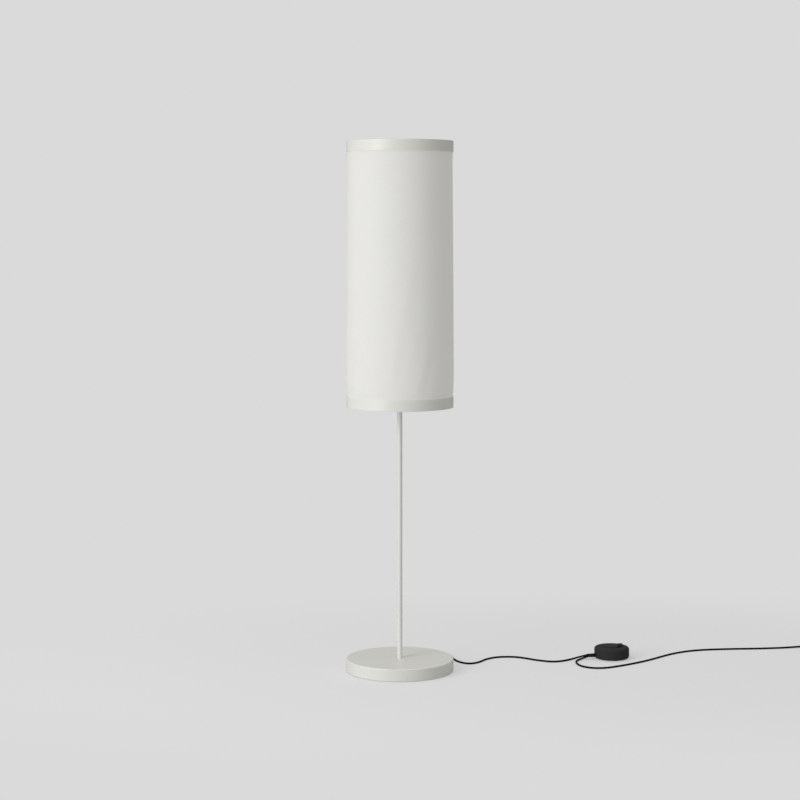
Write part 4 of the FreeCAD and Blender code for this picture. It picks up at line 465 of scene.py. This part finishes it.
def make_sleeve(low, high):
    """The cloth: circles of the hem's radius plus cloth_offset, with a lapped seam at the back."""
    from_seam = sleeve_columns()
    heights = np.concatenate([np.linspace(low, low + BAND_HEIGHT, 5)[:-1],
                              np.linspace(low + BAND_HEIGHT, high - BAND_HEIGHT, 128),
                              np.linspace(high - BAND_HEIGHT, high, 5)[1:]])
    height, seam_arc = np.meshgrid(heights, from_seam, indexing="ij")
    arc = seam_arc + math.radians(SEAM_AZIMUTH) * HEM_RADIUS
    beside = np.minimum(seam_arc, CIRCUMFERENCE - seam_arc)
    lap = CLOTH_THICK * smooth_step((SEAM_WIDTH / 2 - np.abs(beside)) / 0.0012 + 0.5)
    shown = smooth_step((height - low - BAND_HEIGHT) / 0.004) * smooth_step((high - BAND_HEIGHT - height) / 0.004)
    radius = HEM_RADIUS + cloth_offset(arc, height, low + BAND_HEIGHT, high - BAND_HEIGHT) + lap * shown
    azimuth = arc / HEM_RADIUS
    points = np.stack([radius * np.sin(azimuth), -radius * np.cos(azimuth), height], axis=-1)
    uvs = np.stack([seam_arc, height], axis=-1)
    faces = grid_faces(len(heights), len(from_seam), round_columns=True)[:, ::-1]
    sleeve = new_object("shade_cloth", points.reshape(-1, 3), faces, uvs.reshape(-1, 2))
    wall = sleeve.modifiers.new("wall", "SOLIDIFY")
    wall.thickness = CLOTH_THICK
    wall.offset = -1
    return sleeve


def make_stitches(low, high):
    """Two rows of stitches down the lapped seam: short threads that dive into the cloth at each end."""
    pitch = 0.0032
    thread_r = 0.00022
    starts = np.arange(low + BAND_HEIGHT + 0.003, high - BAND_HEIGHT - 0.004, pitch)
    rings, sides = 5, 6
    along, around = np.meshgrid(np.linspace(0, 1, rings), np.arange(sides) * 2 * math.pi / sides, indexing="ij")
    bow = np.sin(along * math.pi)
    faces = grid_faces(rings, sides, round_columns=True)
    all_points = []
    all_faces = []
    for row_arc in (-0.0030, 0.0030):
        for start in starts:
            height = start + along * pitch * 0.78
            arc = row_arc + math.radians(SEAM_AZIMUTH) * HEM_RADIUS
            middle = HEM_RADIUS + cloth_offset(arc, start, low + BAND_HEIGHT, high - BAND_HEIGHT) + CLOTH_THICK
            thickness = thread_r * (0.35 + 0.65 * bow)
            radius = middle + (bow - 0.6) * thread_r + thickness * np.cos(around)
            azimuth = (arc + thickness * np.sin(around)) / HEM_RADIUS
            points = np.stack([radius * np.sin(azimuth), -radius * np.cos(azimuth), height], axis=-1)
            all_faces.append(faces + len(all_points) * rings * sides)
            all_points.append(points.reshape(-1, 3))
    return new_object("seam_stitches", np.concatenate(all_points), np.concatenate(all_faces))


# ================================================================ cords
def free_cord(name, points):
    """One smooth curve with the route's points as its control points."""
    curve = bpy.data.curves.new(name, "CURVE")
    curve.dimensions = "3D"
    curve.bevel_depth = CORD_R
    curve.bevel_resolution = 6
    curve.use_fill_caps = True
    spline = curve.splines.new("NURBS")
    spline.points.add(len(points) - 1)
    spline.points.foreach_set("co", np.c_[np.array(points), np.ones(len(points))].ravel())
    spline.order_u = 3
    spline.use_endpoint_u = True
    spline.resolution_u = 10
    cord = bpy.data.objects.new(name, curve)
    bpy.context.scene.collection.objects.link(cord)
    return cord


def on_floor(route):
    """Centres of a cord whose underside is at the route's heights."""
    return [np.array([x, y, lift + CORD_R]) for x, y, lift in route]


def dimmer_exit(side):
    """Tip of one of the dimmer's two reliefs, and the way its cord leaves."""
    angle = math.radians(DIMMER_YAW)
    turn = np.array([[math.cos(angle), -math.sin(angle), 0], [math.sin(angle), math.cos(angle), 0], [0, 0, 1]])
    tip = turn @ np.array([DIMMER_TIP[0], side * DIMMER_TIP[1], DIMMER_TIP[2]])
    return tip + np.array([*DIMMER_PLACE, 0]), turn @ np.array([-1.0, 0, 0])


def coil_point(turn):
    """Centre of the coil's cord after so many turns: in on the low layer, and out on the high one."""
    past = (turn - COIL_TURNS / 2) * 2 * math.pi
    low = TIE_THICK + SEAT_GAP + CORD_R
    if abs(past) < math.pi / 2:
        inset = past ** 2 / math.pi + math.pi / 4
        height = low + COIL_PITCH / 2 * (1 + math.sin(past))
    else:
        inset = abs(past)
        height = low if past < 0 else low + COIL_PITCH
    core = COIL_MID_R - COIL_PITCH * COIL_TURNS / 4
    radius = core + COIL_PITCH / (2 * math.pi) * inset
    return np.array([*COIL_PLACE, 0]) + polar(radius, COIL_START_AZIMUTH - 360 * turn, height)


def coil_heading(turn):
    """Direction of the coil's cord after so many turns."""
    step = 1e-4
    way = coil_point(turn + step) - coil_point(turn - step)
    return way / np.linalg.norm(way)


def coil_points():
    """The straight end, the turns and the other straight end, as control points."""
    per_turn = 24
    marks = np.linspace(0, COIL_TURNS, int(COIL_TURNS * per_turn) + 1)
    start = coil_point(0) - coil_heading(0) * CORD_D
    end = coil_point(COIL_TURNS) + coil_heading(COIL_TURNS) * CORD_D
    return [start, *[coil_point(mark) for mark in marks], end]


def tail_points():
    """From the coil to the plug, turning away from the coil and down to the plug's middle."""
    way = coil_heading(COIL_TURNS)
    start = coil_point(COIL_TURNS) + way * CORD_D
    drop = (start[2] - PLUG_AXIS) / 2
    points = [start + way * TAIL_RUN]
    azimuth = math.degrees(math.atan2(way[1], way[0]))
    for height in (PLUG_AXIS + drop, PLUG_AXIS, PLUG_AXIS):
        azimuth += TAIL_TURN_DEG
        following = points[-1] + polar(TAIL_RUN, azimuth)
        following[2] = height
        points.append(following)
    return points


def make_cords():
    """Cord from the foot to the dimmer, and from the dimmer through the coil to the plug."""
    radius, height = CORD_EXIT
    away = polar(1, CORD_EXIT_AZIMUTH)
    tip = polar(radius, CORD_EXIT_AZIMUTH, height)
    into, out = dimmer_exit(+1)
    lamp_cord = free_cord("lamp_cord", [tip, tip + away * EXIT_RUN, *on_floor(ROUTE_TO_DIMMER),
                                        into + out * DIMMER_RUN - LAMP_CORD_SAG, into])
    start, out = dimmer_exit(-1)
    lead_in = coil_point(0) - coil_heading(0) * (CORD_D + COIL_RUN)
    mains_cord = free_cord("mains_cord", [start, start + out * DIMMER_RUN - MAINS_CORD_SAG, *on_floor(ROUTE_TO_PLUG), lead_in,
                                          *coil_points(), *tail_points()])
    return lamp_cord, tip, mains_cord, start


def make_tie():
    """Strap wound once and a lap round the coil's bundle: a flat rounded section carried along its line."""
    core = COIL_MID_R - COIL_PITCH * COIL_TURNS / 4
    outer = COIL_MID_R + COIL_PITCH * COIL_TURNS / 4 + CORD_R + SEAT_GAP
    inner = math.sqrt((core - CORD_R) ** 2 - (TIE_WIDTH / 2) ** 2) - SEAT_GAP
    top = TIE_THICK + CORD_D + COIL_PITCH + 2 * SEAT_GAP
    corner = 0.002
    half = TIE_THICK / 2
    left, right, low, high = inner - half, outer + half, half, top + half
    radius = corner + half
    # The line of the strap's middle: it starts on the top, goes round once, and laps over its start.
    length = right - left - 2 * radius
    rise = high - low - 2 * radius
    bend = math.pi / 2 * radius
    legs = [("run", 0.6 * length, (left + radius + 0.6 * length, high), 180),
            ("turn", bend, (left + radius, high - radius), 90), ("run", rise, (left, high - radius), 270),
            ("turn", bend, (left + radius, low + radius), 180), ("run", length, (left + radius, low), 0),
            ("turn", bend, (right - radius, low + radius), 270), ("run", rise, (right, low + radius), 90),
            ("turn", bend, (right - radius, high - radius), 0), ("run", length * 0.95, (right - radius, high), 180)]
    line = []
    for kind, reach, at, angle in legs:
        share = np.linspace(0, 1, 14)[:-1]
        base = math.radians(angle)
        if kind == "run":
            line.append(np.c_[at[0] + np.cos(base) * reach * share, at[1] + np.sin(base) * reach * share,
                              np.full(len(share), base)])
        else:
            swing = base + share * math.pi / 2
            line.append(np.c_[at[0] + radius * np.cos(swing), at[1] + radius * np.sin(swing), swing + math.pi / 2])
    line = np.concatenate(line)
    steps = np.r_[0, np.cumsum(np.hypot(*np.diff(line[:, :2], axis=0).T))]
    lifted = smooth_step((steps - (steps[-1] - 1.15 * length)) / (0.25 * length)) * TIE_THICK
    normal = np.c_[np.sin(line[:, 2]), -np.cos(line[:, 2])]
    middle = line[:, :2] + normal * lifted[:, None]
    around = np.arange(20) * 2 * math.pi / 20
    square = 0.25
    section_across = np.sign(np.cos(around)) * np.abs(np.cos(around)) ** square * TIE_WIDTH / 2
    section_out = np.sign(np.sin(around)) * np.abs(np.sin(around)) ** square * half
    across_r = middle[:, None, 0] + normal[:, None, 0] * section_out
    up = middle[:, None, 1] + normal[:, None, 1] * section_out
    side = np.broadcast_to(section_across, across_r.shape)
    angle = math.radians(TIE_AZIMUTH)
    x = COIL_PLACE[0] + across_r * math.cos(angle) - side * math.sin(angle)
    y = COIL_PLACE[1] + across_r * math.sin(angle) + side * math.cos(angle)
    points = np.stack([x, y, up], axis=-1).reshape(-1, 3)
    uvs = np.stack([np.broadcast_to(steps[:, None], side.shape), side], axis=-1).reshape(-1, 2)
    faces = grid_faces(len(line), len(around), round_columns=True)
    strap = new_object("coil_strap", points, faces, uvs)
    close_ends(strap, len(around))
    return strap


def close_ends(piece, sides):
    """Adds a face over the first and the last ring of a tube and points all faces outwards."""
    mesh = piece.data
    shape = bmesh.new()
    shape.from_mesh(mesh)
    shape.verts.ensure_lookup_table()
    total = len(shape.verts)
    shape.faces.new([shape.verts[k] for k in range(sides)])
    shape.faces.new([shape.verts[k] for k in range(total - sides, total)])
    bmesh.ops.recalc_face_normals(shape, faces=shape.faces)
    shape.to_mesh(mesh)
    shape.free()


# ================================================================ room and light
def make_floor():
    """Wide pale floor: what the camera sees fades from lit floor, round lamp and cord, to its own light."""
    reach = 9.0
    floor = new_object("floor", [(-reach, -reach, 0), (reach, -reach, 0), (reach, reach, 0), (-reach, reach, 0)],
                       [(0, 1, 2, 3)])
    ground = Finish("floor")
    tree = ground.tree
    place = ground.place()
    ground.set(Base_Color=rgba(0.62, 0.62, 0.62), Roughness=0.9, Specular_IOR_Level=0.1)
    seen = ground.node("ShaderNodeBsdfDiffuse", None, {"Color": rgba(0.925, 0.925, 0.950)})
    glow = ground.node("ShaderNodeEmission", None, {"Color": rgba(*BACKGROUND), "Strength": 1.0})
    oval = ground.node("ShaderNodeMapping", None, {"Vector": place, "Location": FLOOR_SHIFT, "Scale": FLOOR_OVAL})
    far = ground.node("ShaderNodeVectorMath", {"operation": "LENGTH"}, [oval.outputs[0]])
    share = Signal(ground, far.outputs["Value"]).within(FLOOR_NEAR, FLOOR_FAR) * (1 - FLOOR_GLOW) + FLOOR_GLOW
    camera_side = ground.node("ShaderNodeMixShader", None, [share, seen.outputs[0], glow.outputs[0]])
    camera_ray = ground.node("ShaderNodeLightPath").outputs["Is Camera Ray"]
    both = ground.node("ShaderNodeMixShader", None, [camera_ray, ground.shader.outputs[0], camera_side.outputs[0]])
    tree.links.new(both.outputs[0], tree.nodes["Material Output"].inputs["Surface"])
    floor.data.materials.append(ground.material)


def make_room():
    """World light: brighter overhead than at the sides, and the plain background for camera rays."""
    world = bpy.data.worlds.new("room")
    bpy.context.scene.world = world
    world.use_nodes = True
    tree = world.node_tree
    tree.nodes.clear()
    place = tree.nodes.new("ShaderNodeTexCoord")
    parts = tree.nodes.new("ShaderNodeSeparateXYZ")
    tree.links.new(place.outputs["Generated"], parts.inputs[0])
    ramp = tree.nodes.new("ShaderNodeMapRange")
    tree.links.new(parts.outputs["Z"], ramp.inputs["Value"])
    ramp.inputs["To Min"].default_value = ROOM_LOW
    ramp.inputs["To Max"].default_value = ROOM_HIGH
    light = tree.nodes.new("ShaderNodeBackground")
    light.inputs["Color"].default_value = rgba(*ROOM_TINT)
    tree.links.new(ramp.outputs[0], light.inputs["Strength"])
    seen = tree.nodes.new("ShaderNodeBackground")
    seen.inputs["Color"].default_value = rgba(*BACKGROUND)
    path = tree.nodes.new("ShaderNodeLightPath")
    mix = tree.nodes.new("ShaderNodeMixShader")
    tree.links.new(path.outputs["Is Camera Ray"], mix.inputs[0])
    tree.links.new(light.outputs[0], mix.inputs[1])
    tree.links.new(seen.outputs[0], mix.inputs[2])
    out = tree.nodes.new("ShaderNodeOutputWorld")
    tree.links.new(mix.outputs[0], out.inputs["Surface"])


def soft_box(name, place, target, width, height, watts):
    """Rectangular lamp that faces a point."""
    light = bpy.data.lights.new(name, "AREA")
    light.shape = "RECTANGLE"
    light.size = width
    light.size_y = height
    light.energy = watts
    lamp = bpy.data.objects.new(name, light)
    bpy.context.scene.collection.objects.link(lamp)
    lamp.location = place
    lamp.rotation_euler = (Vector(target) - Vector(place)).to_track_quat("-Z", "Y").to_euler()


def make_camera():
    """Level camera in front; its lens and shift put the horizon and the axis where the photograph has them."""
    camera = bpy.data.cameras.new("camera")
    camera.sensor_width = 36.0
    camera.lens = FOCAL_PIXELS * camera.sensor_width / IMAGE_PIXELS
    camera.shift_x = (IMAGE_PIXELS / 2 - AXIS_COLUMN) / IMAGE_PIXELS
    camera.shift_y = (HORIZON_ROW - IMAGE_PIXELS / 2) / IMAGE_PIXELS
    viewer = bpy.data.objects.new("camera", camera)
    bpy.context.scene.collection.objects.link(viewer)
    viewer.location = (0, -CAMERA_DISTANCE, CAMERA_HEIGHT)
    viewer.rotation_euler = (math.pi / 2, 0, 0)
    bpy.context.scene.camera = viewer


# ================================================================ dressing
def dress(names, material):
    """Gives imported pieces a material."""
    for name in names:
        slots = node[name].material_slots
        if not slots:
            node[name].data.materials.append(material)
        for slot in slots:
            slot.material = material


def dress_solids():
    """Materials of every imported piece."""
    paint = powder_coat()
    dress(["base_cover", "stem_tube", "shade_band_top", "shade_band_bottom", "shade_frame_top",
           "shade_frame_bottom", "shade_collar", "finial_nut", "lamp_arm_low", "lamp_arm_high"], paint)
    dress(["base_weight"], cast_iron())
    dress(["base_pad"], pressed_felt())
    dress(["base_plate", "plate_screws", "base_clamp_screws", "stem_stud", "stem_washer", "stem_nut",
           "stem_top_stud", "band_screws", "set_screws", "holder_nipples", "holder_nuts", "dimmer_screws",
           "bulb_cap_low", "bulb_cap_high"], plated_steel())
    rubber = moulded("soft_rubber", (0.008, 0.008, 0.0085), (0.018, 0.018, 0.0185), 0.62, 1800, 0.00008, 0.6)
    rubber.set(Specular_IOR_Level=0.08)
    dress(["base_cord_relief", "dimmer_reliefs", "dimmer_feet", "plug_relief"], rubber.material)
    case = moulded("case_plastic", (0.034, 0.034, 0.035), (0.046, 0.046, 0.047), 0.60, 2200, 0.00008, 0.6)
    case.set(Specular_IOR_Level=0.03)
    dress(["dimmer_base", "dimmer_cover", "dimmer_carrier", "dimmer_clamp", "base_cord_clamp", "plug_body"],
          case.material)
    knob = moulded("knob_plastic", (0.010, 0.010, 0.011), (0.018, 0.018, 0.019), 0.28, 900, 0.00002, 0.3)
    dress(["dimmer_knob"], knob.material)
    white = moulded("white_plastic", (0.78, 0.78, 0.76), (0.84, 0.84, 0.82), 0.38, 1400, 0.00004, 0.4)
    dress(["lampholder_low", "lampholder_high", "bulb_neck_low", "bulb_neck_high", "dimmer_terminals"],
          white.material)
    dress(["bulb_globe_low", "bulb_globe_high"], opal_plastic())
    dress(["inner_lead", "dimmer_leads"], cord_sheath())
    lead = moulded("white_lead", (0.74, 0.74, 0.72), (0.80, 0.80, 0.78), 0.5, 1200, 0.00004, 0.4)
    dress(["holder_leads"], lead.material)
    dress(["socket_contacts", "plug_pins", "dimmer_wiper"],
          warm_metal("drawn_brass", (0.62, 0.47, 0.22), (0.80, 0.65, 0.38)))
    dress(["dimmer_choke"], warm_metal("copper_winding", (0.42, 0.18, 0.07), (0.62, 0.32, 0.15)))
    board = moulded("paper_board", (0.18, 0.14, 0.07), (0.28, 0.23, 0.12), 0.55, 700, 0.00005, 0.4)
    dress(["dimmer_board", "dimmer_track"], board.material)
    film = moulded("capacitor_case", (0.62, 0.44, 0.06), (0.78, 0.58, 0.12), 0.3, 600, 0.00003, 0.3)
    dress(["dimmer_capacitor"], film.material)


dress_solids()
fabric_low, fabric_high = (corner.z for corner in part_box("shade_fabric"))
sleeve = make_sleeve(fabric_low, fabric_high)
sleeve.data.materials.append(woven_cloth())
stitches = make_stitches(fabric_low, fabric_high)
stitches.data.materials.append(sewing_thread())
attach(sleeve, "root")
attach(stitches, "root")
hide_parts("shade_fabric")

lamp_cord, lamp_exit, mains_cord, mains_exit = make_cords()
black_sheath = cord_sheath()
tie = make_tie()
tie.data.materials.append(strap_weave())
for cord in (lamp_cord, mains_cord):
    cord.data.materials.append(black_sheath)
    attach(cord, "root")
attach(tie, "root")
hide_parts("cord_to_dimmer")
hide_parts("cord_to_plug", "cord_coil", "cord_tail")
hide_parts("coil_tie")

make_floor()
make_room()
soft_box("key_light", (-3.75, -3.40, 1.80), (0.10, 0, 0.50), 2.7, 3.4, 140.0)
make_camera()
bpy.context.scene.view_settings.view_transform = "Standard"
